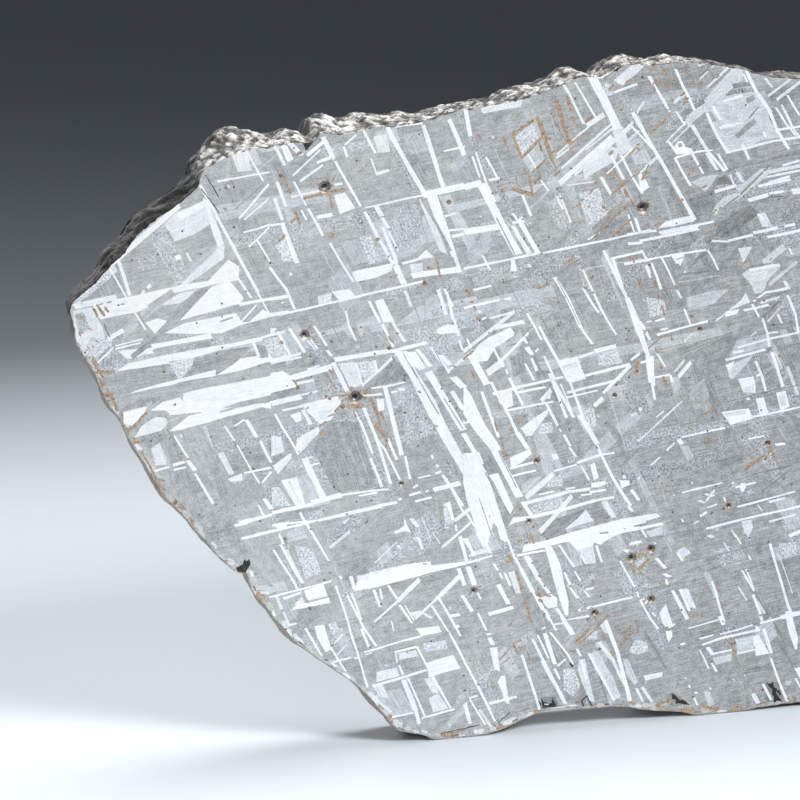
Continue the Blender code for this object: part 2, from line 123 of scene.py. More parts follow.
# The plates of the front face's seen part: fields with their corners, straight bars as (x, z, x, z, width),
# and specks as (x, z, size). Later ones lie over earlier ones.
FIELDS = (
    ("pale", (-76.7, 87), (-74.7, 88.9), (-70.3, 90.6), (-69.3, 88.7), (-69.5, 86.8), (-72, 85.3),
        (-75.1, 84.4)),
    ("white", (-74.7, 88.6), (-70.3, 90.6), (-69.9, 89.7), (-74.3, 87.6)),
    ("white", (-70.6, 91), (-69.8, 90.4), (-67.2, 83.5), (-68.3, 83.2), (-69.5, 87)),
    ("pale", (-74.5, 77.4), (-68, 83.3), (-67.2, 83.3), (-67.4, 81.4), (-69.5, 79.9), (-73.7, 77.2)),
    ("white", (-69.9, 78), (-66.6, 81.2), (-64.9, 79.9), (-65, 78.3)),
    ("white", (-88.2, 75.3), (-81.8, 76.2), (-74.7, 77.4), (-65.1, 78.6), (-65.1, 77.9), (-70, 77.1),
        (-74.7, 76.4), (-77.2, 76), (-79, 74.4), (-81.3, 73.5), (-87, 72.7), (-87.8, 73.8)),
    ("pale", (-77.4, 74.4), (-74.7, 76.2), (-71.2, 76.7), (-72, 75.8), (-74.7, 74.7)),
    ("dark", (-75.7, 72.2), (-74.7, 74.3), (-72, 76.4), (-69.9, 77.2), (-68.5, 77.4), (-69.9, 76.2),
        (-73.2, 73), (-74.7, 72.2)),
    ("white", (-74.6, 71.9), (-69.4, 77), (-66.5, 77.9), (-64.2, 75), (-64.9, 74.1)),
    ("white", (-77, 70.1), (-74, 71.4), (-68, 72.6), (-65.8, 73.1), (-65.2, 72.2), (-64.6, 71.2),
        (-63.4, 71.2), (-61.2, 73), (-60.2, 72.4), (-57, 72.7), (-57, 72.2), (-60, 71.8), (-65, 70.6),
        (-68, 69.6), (-72, 69.7)),
    ("white", (-80, 71.8), (-78, 72.4), (-76.5, 72), (-78.5, 70)),
    ("pale", (-66, 97.8), (-63.6, 98), (-62.7, 94.9), (-65, 94.8)),
    ("pale", (-91.2, 74.3), (-88.4, 74.7), (-86.8, 71.6), (-86.2, 69), (-88.6, 67.6), (-91, 69.6)),
    ("mottled", (-91, 73.6), (-89.6, 74), (-88.6, 71.4), (-90.4, 70.2)),
    ("flecked", (-89.7, 67), (-88.6, 70), (-85.2, 69.4), (-85.6, 66.6)),
    ("white", (-84.3, 67.7), (-81, 67.9), (-81.8, 66.3), (-83, 66.3), (-84.1, 67.3)),
    ("white", (-81.8, 66.3), (-80.3, 67.7), (-78.9, 67.9), (-78.5, 67), (-80.3, 66.9)),
    ("white", (-84.7, 64.4), (-82.8, 65.6), (-74.7, 66.9), (-68.3, 67.7), (-61.2, 68.7), (-61.2, 68),
        (-68.3, 67), (-72, 66), (-77.4, 65), (-80.8, 64.8)),
    ("grey", (-84.5, 64.4), (-76.2, 65.2), (-75.8, 62.5), (-83.7, 60.8)),
    ("flecked", (-76.4, 65.6), (-72.4, 65.8), (-72.6, 64.6), (-74.9, 62.5)),
    ("dark", (-72.2, 65.6), (-68, 66.9), (-63, 67.3), (-64.9, 65.4), (-68.5, 63.3), (-74.1, 62.3)),
    ("white", (-80.8, 61.5), (-75.8, 62.5), (-72, 63.3), (-68.8, 63.9), (-68.9, 62.9), (-72, 62.5),
        (-74.7, 62.1), (-79.5, 61), (-84.1, 60.3)),
    ("white", (-68.9, 63), (-66.2, 64.4), (-64.9, 65.4), (-60, 66), (-60, 64.8), (-65, 63.4)),
    ("white", (-74.1, 60.4), (-70, 61.1), (-60, 62.3), (-60, 59.3), (-64.9, 58.5), (-68.5, 57.6),
        (-70, 57.2), (-76.5, 57), (-75, 58.5), (-74.2, 59.2)),
    ("white", (-79.5, 57.9), (-77.4, 59.2), (-74.7, 59.8), (-74.1, 59), (-74.9, 57.5), (-76.2, 57.1),
        (-77, 57.9)),
    ("white", (-83.7, 57.9), (-79.9, 58.6), (-80.3, 57.5), (-82, 55.6), (-83.7, 56.2)),
    ("pale", (-82, 53.8), (-80.8, 55.6), (-78.7, 56.9), (-77, 56.7), (-76.5, 55.6), (-77.8, 54.6)),
    ("grey", (-76.6, 56.3), (-73.7, 57.3), (-74.7, 56), (-76.2, 55.4), (-77.4, 54.2)),
    ("white", (-76.6, 54.4), (-73.3, 56.7), (-69.9, 57.5), (-61.2, 58.1), (-61.2, 57.5), (-69.9, 55.6),
        (-74.7, 54.6)),
    ("white", (-62, 57.7), (-60, 58.3), (-60, 57.1), (-61, 57.3)),
    ("pale", (-79.5, 51.9), (-78, 52.7), (-77, 50.2), (-77, 49.2), (-78.7, 49.2)),
    ("white", (-67.2, 46.2), (-64.9, 46.9), (-64.7, 45.8), (-66.6, 45.7)),
    ("dark", (-62.4, 67.5), (-60.6, 67.2), (-60, 65.4), (-61.8, 65.3)),
    ("flecked", (-61.1, 68.2), (-59.9, 68.5), (-59.8, 65.7), (-60.5, 66.1)),
    ("white", (-60.4, 66.1), (-59.6, 65.2), (-56, 65.8), (-55, 66), (-55, 65.6), (-59, 64.6),
        (-60.4, 64.6)),
    ("white", (-60.4, 62.3), (-58.2, 63), (-57.4, 62.2), (-56.6, 61.2), (-57, 60.2), (-60.4, 60.1)),
    ("white", (-58.3, 99.1), (-57, 98.6), (-56, 96.5), (-57, 96)),
    ("crack", (-55, 99.8), (-51.9, 100.1), (-54, 97.7)),
    ("white", (-49.6, 90.6), (-47.7, 91), (-46, 88.5), (-48.6, 87.6)),
    ("flecked", (-59, 83), (-57.5, 84.1), (-56, 80.3), (-57.9, 80.5)),
    ("white", (-50, 75.3), (-47.1, 75.6), (-45.8, 74.3), (-48.8, 74)),
    ("pale", (-52.3, 74.7), (-50, 75.1), (-50, 73.5), (-52.1, 73.2)),
    ("white", (-46.7, 78.4), (-40, 79.5), (-40, 78.3), (-42.7, 77.2), (-45.8, 76.7)),
    ("flecked", (-45.4, 83.9), (-43.5, 84.1), (-41.7, 79.9), (-43.8, 79.3)),
    ("pale", (-43.1, 99.7), (-41, 99.9), (-40.3, 97.2), (-42.3, 97.1)),
    ("white", (-36, 79.9), (-34.4, 81.4), (-33.1, 80.1)),
    ("pale", (-37.3, 79.1), (-35, 79.3), (-34.8, 77.6), (-36.5, 77.4)),
    ("pale", (-35.6, 89.5), (-33.5, 84.5), (-32.1, 81), (-30.8, 80.5), (-32.3, 84.3), (-35, 89.7)),
    ("white", (-34.2, 89.7), (-32.5, 90.1), (-29.2, 80.1), (-30, 80), (-31.7, 83.3), (-33.5, 87.8)),
    ("white", (-42.9, 73.5), (-41.5, 73.8), (-39.6, 70), (-41.5, 70)),
    ("flecked", (-19.6, 98.8), (-16.5, 101.2), (-15.6, 98.6), (-18.4, 95.8)),
    ("light", (-18.3, 95.2), (-15.3, 98), (-14.6, 95), (-16.8, 93.2)),
    ("flecked", (-8.6, 89.4), (-5.2, 90.2), (-3.6, 85.6), (-7, 84.2)),
    ("flecked", (-4.8, 106.9), (-3.4, 107), (-2.9, 105.2), (-4.2, 104.8)),
    ("pale", (-25.3, 103.6), (-18.4, 105), (-18.6, 103.6), (-25, 102.8)),
    ("pale", (-3.2, 99.8), (-1.2, 100), (0.4, 96.4), (-1.6, 95)),
    ("pale", (-8, 93.2), (-3.6, 97), (-1.6, 96.4), (-2.6, 94.4), (-7.6, 91.8)),
    ("pale", (-3, 107.4), (0.8, 110.4), (2.4, 109.6), (-1.4, 106.6)),
    ("white", (1.4, 92.6), (2.6, 92), (3.5, 90), (2.2, 89.1)),
    ("crack", (-5.6, 108.9), (-4.6, 109.4), (-3.9, 108.4), (-4.4, 107.7), (-5.2, 108)),
    ("milky", (18, 109.6), (19.6, 109.4), (19.5, 107), (14.5, 103), (10, 99.6), (9.8, 101.3), (13, 104)),
    ("milky", (15.6, 104.5), (22, 105), (25, 99.5), (26.2, 97.4), (23, 97), (20, 95.6), (17, 95),
        (14.6, 98.7), (13, 102)),
    ("milky", (18.3, 89.7), (20, 90.1), (22.9, 92.4), (25, 92.6), (24.2, 91.2), (20.8, 88.5),
        (16.7, 86.2), (15.2, 84.9), (14.6, 85.8), (16.7, 88), (19.4, 88.5)),
    ("milky", (10.6, 90.6), (13, 91.5), (15.4, 91.7), (14.6, 90.1), (13.3, 88.9), (12, 90)),
    ("dark", (10.4, 88), (15, 89.5), (15, 86), (11.7, 84.1)),
    ("dark", (15.2, 90.6), (16.8, 91.6), (18, 90.2), (15.2, 89.9)),
    ("dark", (15.4, 82.4), (16, 83.8), (19, 85.5), (21.5, 86.4), (23, 85), (20.6, 83.4), (17.5, 81.2),
        (15.4, 81.5)),
    ("pale", (22.6, 85), (24, 85.2), (25.4, 82.6), (23.6, 82.8)),
    ("pale", (11.2, 110.2), (14.6, 110.3), (11.8, 109.2)),
    ("white", (5.2, 83.2), (6.6, 84.4), (11.5, 85.2), (11.5, 84.2), (8, 83.5)),
    ("white", (7.7, 96.3), (8.4, 97.3), (9.2, 97.4), (9.7, 96.4), (10.8, 96.2), (11, 95.4), (8.2, 95.2)),
    ("grey", (8.4, 97), (9.1, 97.1), (9.2, 96.4), (8.5, 96.3)),
    ("white", (5.6, 82.2), (6, 82.8), (12.2, 83.6), (12.4, 83)),
    ("pale", (-49, 63.8), (-45, 63.8), (-45.2, 60), (-47, 59.7)),
    ("flecked", (-45.8, 63.8), (-43, 64), (-42.7, 62.3), (-44.6, 60.4)),
    ("dark", (-40, 64.6), (-36.9, 60.8), (-40, 60.2), (-43.3, 59.7)),
    ("white", (-60, 62.9), (-58, 63), (-56.9, 62.3), (-50, 63.8), (-50, 62.7), (-56, 61.6),
        (-55.9, 60.4), (-60, 59.6)),
    ("white", (-55, 57.6), (-49.2, 58.4), (-48.4, 57.6), (-49.4, 56), (-50.2, 54.7), (-52, 54.2),
        (-54, 56.3)),
    ("pale", (-52.4, 56.4), (-49.8, 56.6), (-50.4, 55.2), (-52, 54.8)),
    ("white", (-56.9, 55.9), (-55.2, 56.3), (-55, 55), (-55.9, 54.6)),
    ("cream", (-56, 50), (-55.8, 51.9), (-55, 52.5), (-52.3, 53.8), (-51.9, 52.9), (-55, 50)),
    ("pale", (-60, 52.7), (-58.3, 52.5), (-57.9, 50), (-60, 49.4)),
    ("cream", (-59.8, 47.9), (-56.9, 49.8), (-56.7, 49), (-59, 46.5)),
    ("white", (-58.5, 45.4), (-55.8, 45.8), (-54.4, 41), (-56, 40.9)),
    ("flecked", (-60, 44.4), (-58.8, 44.4), (-56.8, 41.2), (-60, 41.3)),
    ("white", (-55, 48.5), (-54.2, 49), (-51, 42.1), (-52.1, 42.1)),
    ("dark", (-52, 53.2), (-49.4, 54.4), (-45.8, 54.2), (-42.6, 43.4), (-49.6, 42.8), (-53, 49.8)),
    ("white", (-42.7, 57.7), (-41.5, 57.7), (-41.3, 55.8), (-42.3, 55.6)),
    ("mottled", (-38.6, 58.4), (-36.6, 58.3), (-33, 51.5), (-37.6, 50)),
    ("white", (-39.8, 65.2), (-37, 60.8), (-35, 56.7), (-31.4, 50), (-28, 44.4), (-28, 47.6),
        (-30.8, 52.6), (-32.6, 56.4), (-34, 58.9), (-35.4, 60.9), (-36.6, 63.4), (-37.5, 65.2)),
    ("white", (-39, 65), (-36, 65), (-34.4, 62.3), (-35.4, 61.9)),
    ("white", (-32.7, 68.4), (-30.8, 69.2), (-29.4, 69), (-29.2, 67.7), (-32.3, 67.7)),
    ("flecked", (-60, 68.5), (-58.6, 68.5), (-57.2, 65.5), (-60, 65.5)),
    ("white", (-60, 70), (-59, 70), (-59.5, 68.8), (-60, 69)),
    ("rust", (-45, 59.4), (-43.6, 59.4), (-43.6, 58.3), (-44.8, 57.8)),
    ("dark", (-20, 62.8), (-18, 64.6), (-17.4, 60.8), (-19.6, 60)),
    ("dark", (-24.9, 63), (-22.4, 64.2), (-21.6, 63.3), (-24, 61.7)),
    ("flecked", (-4.9, 62.9), (-1.6, 63.5), (-0.6, 61.3), (-4.8, 61)),
    ("grey", (-8, 62.3), (-5.3, 62.7), (-4.9, 60.6), (-7.2, 60.2)),
    ("flecked", (-7.4, 54.2), (-5.6, 54), (-5, 51), (-6.6, 50.8)),
    ("flecked", (-15, 52), (-12.8, 52.2), (-12.6, 50.4), (-15, 50.4)),
    ("white", (-20.1, 79.2), (-19.4, 79.1), (-19, 77.3), (-20, 77.3)),
    ("white", (-24.9, 66.3), (-20.1, 68.2), (-19.3, 67.1), (-22.6, 65), (-24, 62.9), (-26.1, 62.7),
        (-26.8, 63.8)),
    ("white", (-11.8, 62.3), (-8.4, 62.8), (-8.2, 62.1), (-7, 59), (-9.9, 58.4), (-11.3, 61.2)),
    ("white", (-14.4, 56.5), (-13.1, 56.9), (-13.1, 56)),
    ("cream", (-18.2, 51.5), (-13.4, 54.6), (-13.6, 53.5), (-16.3, 50.2), (-17.2, 50)),
    ("cream", (-21.8, 57.5), (-19.8, 57.8), (-19.4, 55.4), (-20.8, 54.8), (-22, 56)),
    ("white", (-28, 59.2), (-26.7, 57.5), (-24.2, 52.3), (-21.8, 48.7), (-21.6, 48), (-23.2, 48),
        (-25.9, 51.2), (-28, 54.4)),
    ("dark", (7, 62.4), (14, 64.6), (18.5, 65.4), (21, 66.6), (17.8, 60.6), (15, 57.6), (12.4, 61),
        (9, 62.2)),
    ("light", (10.4, 71.6), (14.6, 72.5), (18, 72.7), (15, 70.2), (10.8, 69.6)),
    ("flecked", (3.2, 72), (6.4, 71.4), (7, 69.4), (4, 68.6)),
    ("white", (7.7, 79), (10, 79.2), (9.8, 78.4), (8.2, 78.1)),
    ("cream", (8.4, 77.9), (9.8, 78.1), (9.2, 76.9)),
    ("pale", (19.3, 79.4), (22, 79.6), (20.4, 76.9)),
    ("pale", (15.4, 67.4), (18, 69.2), (20.2, 70.8), (20.9, 72), (21.7, 70.3), (18, 69), (16, 67.5)),
    ("white", (17.5, 69), (19.8, 69.2), (19.4, 68.4), (17.3, 68)),
    ("milky", (20.2, 75), (21, 75.6), (25.2, 76.5), (26.9, 76.5), (27.1, 75.8), (25.2, 74.3), (24, 71.8),
        (22.5, 71.7), (21.9, 73.2)),
    ("pale", (22, 75.2), (24.8, 75.6), (24.2, 74), (22.4, 73.6)),
    ("milky", (18, 59.4), (19.3, 60.3), (22.6, 61.5), (21, 59.6), (19, 57.6), (18.3, 57.9)),
    ("white", (17.6, 60), (19.2, 60.6), (18.8, 59.4), (18.1, 59)),
    ("white", (3.3, 62.3), (4.8, 62.1), (5, 59.2), (5.2, 57.1), (3.9, 57.9), (3.5, 60.6)),
    ("white", (19.9, 57.5), (22.7, 57.8), (23.1, 56.2), (23.1, 55), (21, 55.2)),
    ("pale", (20.8, 56), (22.8, 56.2), (22.8, 55.2), (21.2, 55.3)),
    ("white", (23.2, 54), (24.6, 54.2), (25.6, 51.4), (24, 51.3)),
    ("white", (26.8, 54.8), (28.5, 55.1), (29.4, 52.3), (27.7, 51.7)),
    ("pale", (27.2, 54.2), (28.4, 54.4), (28.8, 52.6), (27.9, 52.4)),
    ("white", (17.1, 52.1), (22, 52.5), (22.7, 50.6), (18.8, 49.8)),
    ("pale", (17.6, 51.9), (21.6, 52.3), (21.4, 51.5), (18, 51.3)),
    ("flecked", (-56.2, 34.8), (-53.3, 33.8), (-51.9, 30), (-54.6, 29), (-55.4, 31.7)),
    ("light", (-57.5, 36.9), (-55, 37.9), (-54.2, 35.8), (-57.3, 35.2)),
    ("flecked", (-50.8, 21.2), (-49.6, 21.5), (-49, 20.2), (-50, 19)),
    ("pale", (-42.7, 12.5), (-39.2, 12.9), (-38.8, 11.5), (-42.7, 10.8)),
    ("white", (-59.6, 38.5), (-57.1, 38.7), (-57.9, 37.3), (-59.6, 37.9)),
    ("white", (-54.8, 27), (-51.6, 28), (-50.8, 25.8), (-54.2, 25.4)),
    ("white", (-56.9, 24), (-56.2, 24.8), (-50.6, 25.6), (-50.5, 24.7)),
    ("pale", (-56.7, 24.8), (-55.2, 26), (-54.6, 25)),
    ("white", (-53.1, 21), (-51.5, 21.1), (-50.2, 16.9), (-51.3, 16.5), (-52.7, 19.2)),
    ("pale", (-46, 28.8), (-38, 30), (-38, 29), (-45.8, 27.7)),
    ("white", (-46.5, 26.3), (-33.3, 28.4), (-28.3, 29.4), (-26, 30), (-35, 29.6), (-45.8, 27.9)),
    ("crack", (-66, 31.7), (-64.8, 32.1), (-64.6, 33), (-64.2, 32.6), (-63.8, 33), (-63.5, 32.1),
        (-64.1, 31.2), (-64.8, 30), (-65.6, 30.8)),
    ("flecked", (-34.8, 16.7), (-30.8, 16.8), (-30.4, 15.4), (-34.4, 15.2)),
    ("pale", (-39, 15.4), (-36, 15.6), (-35.6, 14.6), (-38.8, 14.2)),
    ("pale", (-37, 22), (-35, 22.3), (-36, 20.6)),
    ("pale", (-20.2, 27.5), (-19.2, 27.7), (-17.9, 23.8), (-18.8, 23.8)),
    ("pale", (-33.8, 7.3), (-32.1, 7.9), (-30.4, 5.2), (-33.1, 4.8)),
    ("pale", (-34.6, 10.6), (-32.7, 10.8), (-32.1, 7.9), (-33.3, 8.3)),
    ("pale", (-43.3, 10), (-41.7, 10.4), (-40.6, 7.9), (-42.3, 8.3)),
    ("white", (-36, 19.3), (-32.1, 19.4), (-31.5, 18.3), (-35, 17.9)),
    ("white", (-23.3, 15), (-21.9, 15), (-21.5, 10.8), (-22.5, 11.2)),
    ("white", (-21.3, 10), (-20.6, 10), (-19.8, 5), (-20.4, 5.2), (-21.9, 9)),
    ("white", (-34.2, 13.3), (-29.6, 14.3), (-28.3, 11.9), (-33.8, 10.8)),
    ("white", (-27.9, 5.6), (-27.3, 6), (-26.3, 2.3), (-26.9, 2.1)),
    ("pale", (-44, 29.3), (-36, 30.3), (-36, 29.9), (-44, 28.5)),
    ("white", (-44, 28.8), (-36, 30.2), (-33.7, 30.4), (-33, 29.2), (-35, 28.1), (-44, 26.5)),
    ("white", (-38, 38), (-37.4, 36.6), (-36.8, 35.3), (-37.8, 35.7), (-39.6, 35.5), (-37.9, 36.7)),
    ("flecked", (-31.5, 39.8), (-30.4, 40), (-29.6, 36.4), (-31, 36)),
    ("sand", (-33, 40), (-31.8, 40.2), (-31.5, 37), (-32.4, 36.8)),
    ("white", (-28, 48), (-25.2, 48), (-22.9, 41.5), (-21.8, 38), (-20.8, 35), (-20.2, 33),
        (-20.7, 32.5), (-21.6, 33.2), (-22.1, 35.2), (-22.8, 36.2), (-23.2, 34.2), (-23.7, 32.6),
        (-23, 31), (-23.6, 31), (-24.6, 32.2), (-25.8, 34.6), (-26.4, 37), (-27.3, 40), (-28, 43)),
    ("dark", (-24.8, 45.9), (-23.4, 47), (-21.5, 43.9), (-24.2, 44.9)),
    ("white", (-23.6, 44), (-22, 44.2), (-20.6, 41), (-19.4, 38.3), (-19.9, 37.2), (-21.5, 40.2),
        (-22.6, 42.6)),
    ("light", (-18, 42), (-16.6, 43), (-14.5, 43.2), (-15, 42.2), (-16.5, 40.6), (-18, 40.8)),
    ("flecked", (-13.2, 42), (-11, 43.5), (-10.8, 41.4), (-13.8, 41.3)),
    ("flecked", (-16.5, 38.2), (-10.5, 39.4), (-10.3, 38.2), (-13, 37.5), (-16, 37.4)),
    ("dark", (-14.6, 33.4), (-12.2, 35.9), (-7, 37.2), (-8, 35.9), (-10.5, 33.9), (-13.8, 32.9)),
    ("dark", (-6.5, 37.3), (-5, 37.8), (-3.5, 37), (-2.5, 35.4), (-5.2, 35.2)),
    ("pale", (-6.8, 37.2), (-5.4, 35.1), (-10.4, 34), (-8, 35.9)),
    ("pale", (-26.5, 31.5), (-24, 32), (-23.5, 31), (-27, 30.5)),
    ("light", (-27.3, 33.6), (-26, 34.8), (-24.6, 32.2), (-26, 31.8)),
    ("white", (-17.5, 31.9), (-13.4, 32.5), (-9.5, 33.4), (-4, 34.4), (0, 35.2), (4, 35.3), (4, 34.2),
        (1.8, 33.8), (4, 33.3), (0, 32.7), (-2.4, 32), (-4, 31), (-5.2, 31.4), (-5.5, 30.2), (-8, 30.2),
        (-9.6, 32), (-13.5, 31.3), (-17.8, 30.6)),
    ("pale", (-8.2, 30.6), (-5.4, 30.9), (-4.8, 28), (-6.2, 27.8)),
    ("white", (-20, 46.8), (-16.6, 48), (-16.1, 47.2), (-18.2, 45.6), (-19.8, 44.9)),
    ("dark", (-18.2, 45.4), (-16.2, 46.6), (-16.2, 45.8)),
    ("white", (-12.8, 46.8), (-11.9, 46.8), (-11.5, 46), (-12.5, 45.8)),
    ("white", (-6.1, 44.6), (-5.3, 44.9), (-4.5, 42.4), (-5.4, 42)),
    ("white", (-5.9, 41.6), (-3.5, 41.8), (-3.1, 41.3), (-4.4, 40.8), (-5.8, 40.8)),
    ("white", (-0.9, 41.7), (0.9, 41.5), (1, 40.7), (-0.5, 40.3)),
    ("white", (-20.2, 35.4), (-19.4, 36.6), (-16.8, 36.7), (-16.8, 36.1), (-18.5, 35.9)),
    ("white", (-17.4, 29.9), (-16.4, 29.7), (-15.9, 29), (-16.7, 28.9)),
    ("white", (-13.8, 31.4), (-12.7, 31.4), (-11.2, 28.4), (-10.4, 25), (-9.6, 21.8), (-9.6, 19.3),
        (-10.2, 19.4), (-11.3, 22.4), (-12.2, 25.4), (-13, 28.6)),
    ("white", (-14.7, 22.7), (-12.6, 23.3), (-11.6, 22.5), (-11.6, 21), (-13.1, 20.8)),
    ("rust", (-17.3, 35.4), (-16.9, 36.1), (-16, 36.1), (-16.6, 35.2)),
    ("white", (0, 35.2), (5.6, 35.7), (6.6, 35.1), (5, 34.7), (1.8, 34.2), (0, 34.2)),
    ("milky", (4, 32.6), (7, 33.3), (6.9, 31.9), (4.6, 31.6)),
    ("white", (20.8, 39.8), (21.6, 39.8), (21.8, 39), (21.2, 38.2), (20.7, 38.8)),
    ("pale", (21, 33.2), (23, 33.3), (23.2, 32), (22.4, 30.4), (21.6, 31.6)),
    ("milky", (2.1, 27.5), (3.8, 28.1), (3.6, 27.3), (2.6, 26.7)),
    ("pale", (9.6, 29), (10.8, 29.6), (12.1, 28.4), (11, 27.8), (10.6, 27)),
    ("white", (6.6, 18.5), (7.7, 19.9), (8.3, 18.3), (9, 16.5), (9.5, 16.3), (9.2, 15.9), (8, 15.6),
        (7.2, 16.8)),
    ("white", (7.8, 15.2), (8.9, 15.3), (9, 14.2), (8.4, 13.3), (8, 14)),
    ("pale", (9.9, 22.3), (11.7, 22.2), (13.3, 18.8), (12.2, 18.8)),
    ("flecked", (28, 28.8), (31, 29), (31.5, 26.6), (28.6, 26.4)),
    ("milky", (-7, 15), (-5.2, 16.6), (-4.4, 16.2), (-4.5, 14.8)),
    ("pale", (-4, 17.2), (-2.8, 18.1), (-2.2, 15.9), (-3, 15.6)),
    ("milky", (-5.6, 12.6), (-4.3, 12.8), (-1.5, 8), (0, 4.4), (-1.4, 4), (-3.2, 7.4)),
    ("pale", (-7.5, 11.6), (-6.6, 11.7), (-5.9, 8.4), (-4.7, 4), (-5.7, 4.4), (-7.2, 8), (-7.8, 10)),
    ("flecked", (-10.4, 10.4), (-8.4, 10), (-7.2, 7), (-8.6, 5.4), (-10.2, 6.6)),
    ("pale", (-6.3, 4.8), (-5.6, 3.8), (-6.5, 3.8)),
    ("cream", (-12.8, 3.6), (-8, 3.9), (-7.6, 3.1), (-13.2, 3.2)),
    ("white", (4, 7.9), (7.3, 8.2), (7.3, 7.4), (4.2, 6.9)),
    ("milky", (0.3, 11.2), (1.1, 11), (3, 6.8), (2.3, 6.3), (0.8, 8.6)),
    ("flecked", (1.2, 12.2), (2.4, 14.2), (4.4, 13.6), (4.8, 12.2), (3, 11.6)),
    ("dark", (16.6, 11.9), (17.8, 11.9), (17.8, 10.9), (16.6, 10.9)),
    ("mottled", (8.4, 3.6), (9.6, 4.4), (12.6, 2.2), (11, 1.6), (8.2, 2.6)),
    ("dark", (-6.3, 5.3), (-5.2, 3.5), (-6.9, 3.4), (-7.1, 4.4)),
    ("light", (-6.3, 4.7), (-5.8, 3.8), (-6.4, 3.8)),
    ("dark", (-14.2, 5.8), (-11.8, 5.6), (-10.9, 3.9), (-14, 3.6)),
    ("crack", (-14.3, 5.7), (-13.8, 4.8), (-13.2, 4.7), (-13, 4.2), (-12.4, 4.6), (-12.2, 5.4),
        (-11.8, 4.6), (-11.4, 3.8), (-12.9, 3.9), (-14, 4)),
    ("dark", (8.4, 4.2), (9.4, 4.6), (12.6, 2), (9.6, 1.9), (8, 2.8)),
    ("crack", (9, 4.4), (9.6, 4.1), (10.6, 3.1), (11.6, 2.8), (12.4, 1.9), (11.2, 2.2), (10.4, 2.5),
        (9.8, 2.3), (9.9, 3.1), (9.2, 3.3)),
    ("white", (24, 14.9), (24.8, 14.6), (24.9, 13.8), (24.4, 13.8)),
    ("white", (23.4, 13), (24.7, 13.3), (26.8, 9.8), (24.3, 9.5), (24.2, 11), (23.3, 12.6)),
    ("white", (29.6, 17), (30.8, 17), (31.2, 15), (32, 12.2), (32, 10), (31.5, 10.2), (30, 14.2)),
    ("milky", (20.4, 12.8), (23.7, 13.3), (24, 10.8), (21, 10.3)),
    ("milky", (16.3, 9.9), (19.8, 10.3), (20, 9.2), (17, 8.7)),
    ("sand", (19.8, 9.8), (21.8, 10), (22.6, 7.6), (20.2, 8)),
    ("sand", (22.2, 5), (24.4, 4.6), (25, 1), (22.6, 0.6), (21.6, 2)),
    ("milky", (30, 4.8), (31.2, 4.6), (30.6, 3.8), (29.9, 4)),
    ("milky", (15, 4.2), (16, 4), (17, 1.6), (15.8, 1.4)),
    ("dark", (22.5, 7.4), (28, 8.2), (28, 7), (22, 6.6)),
    ("dark", (26, 4.8), (28.6, 4.6), (29.8, 1.2), (26.6, 1.2)),
    ("crack", (26.5, 4.7), (27, 4.4), (27.6, 4.7), (27.8, 3.8), (28.4, 3.4), (28.2, 2.6), (28.9, 1.7),
        (29.5, 1), (28.4, 1.3), (27.9, 0.9), (27.8, 2), (27.4, 2.6), (27.5, 3.4), (26.9, 3.9)),
)
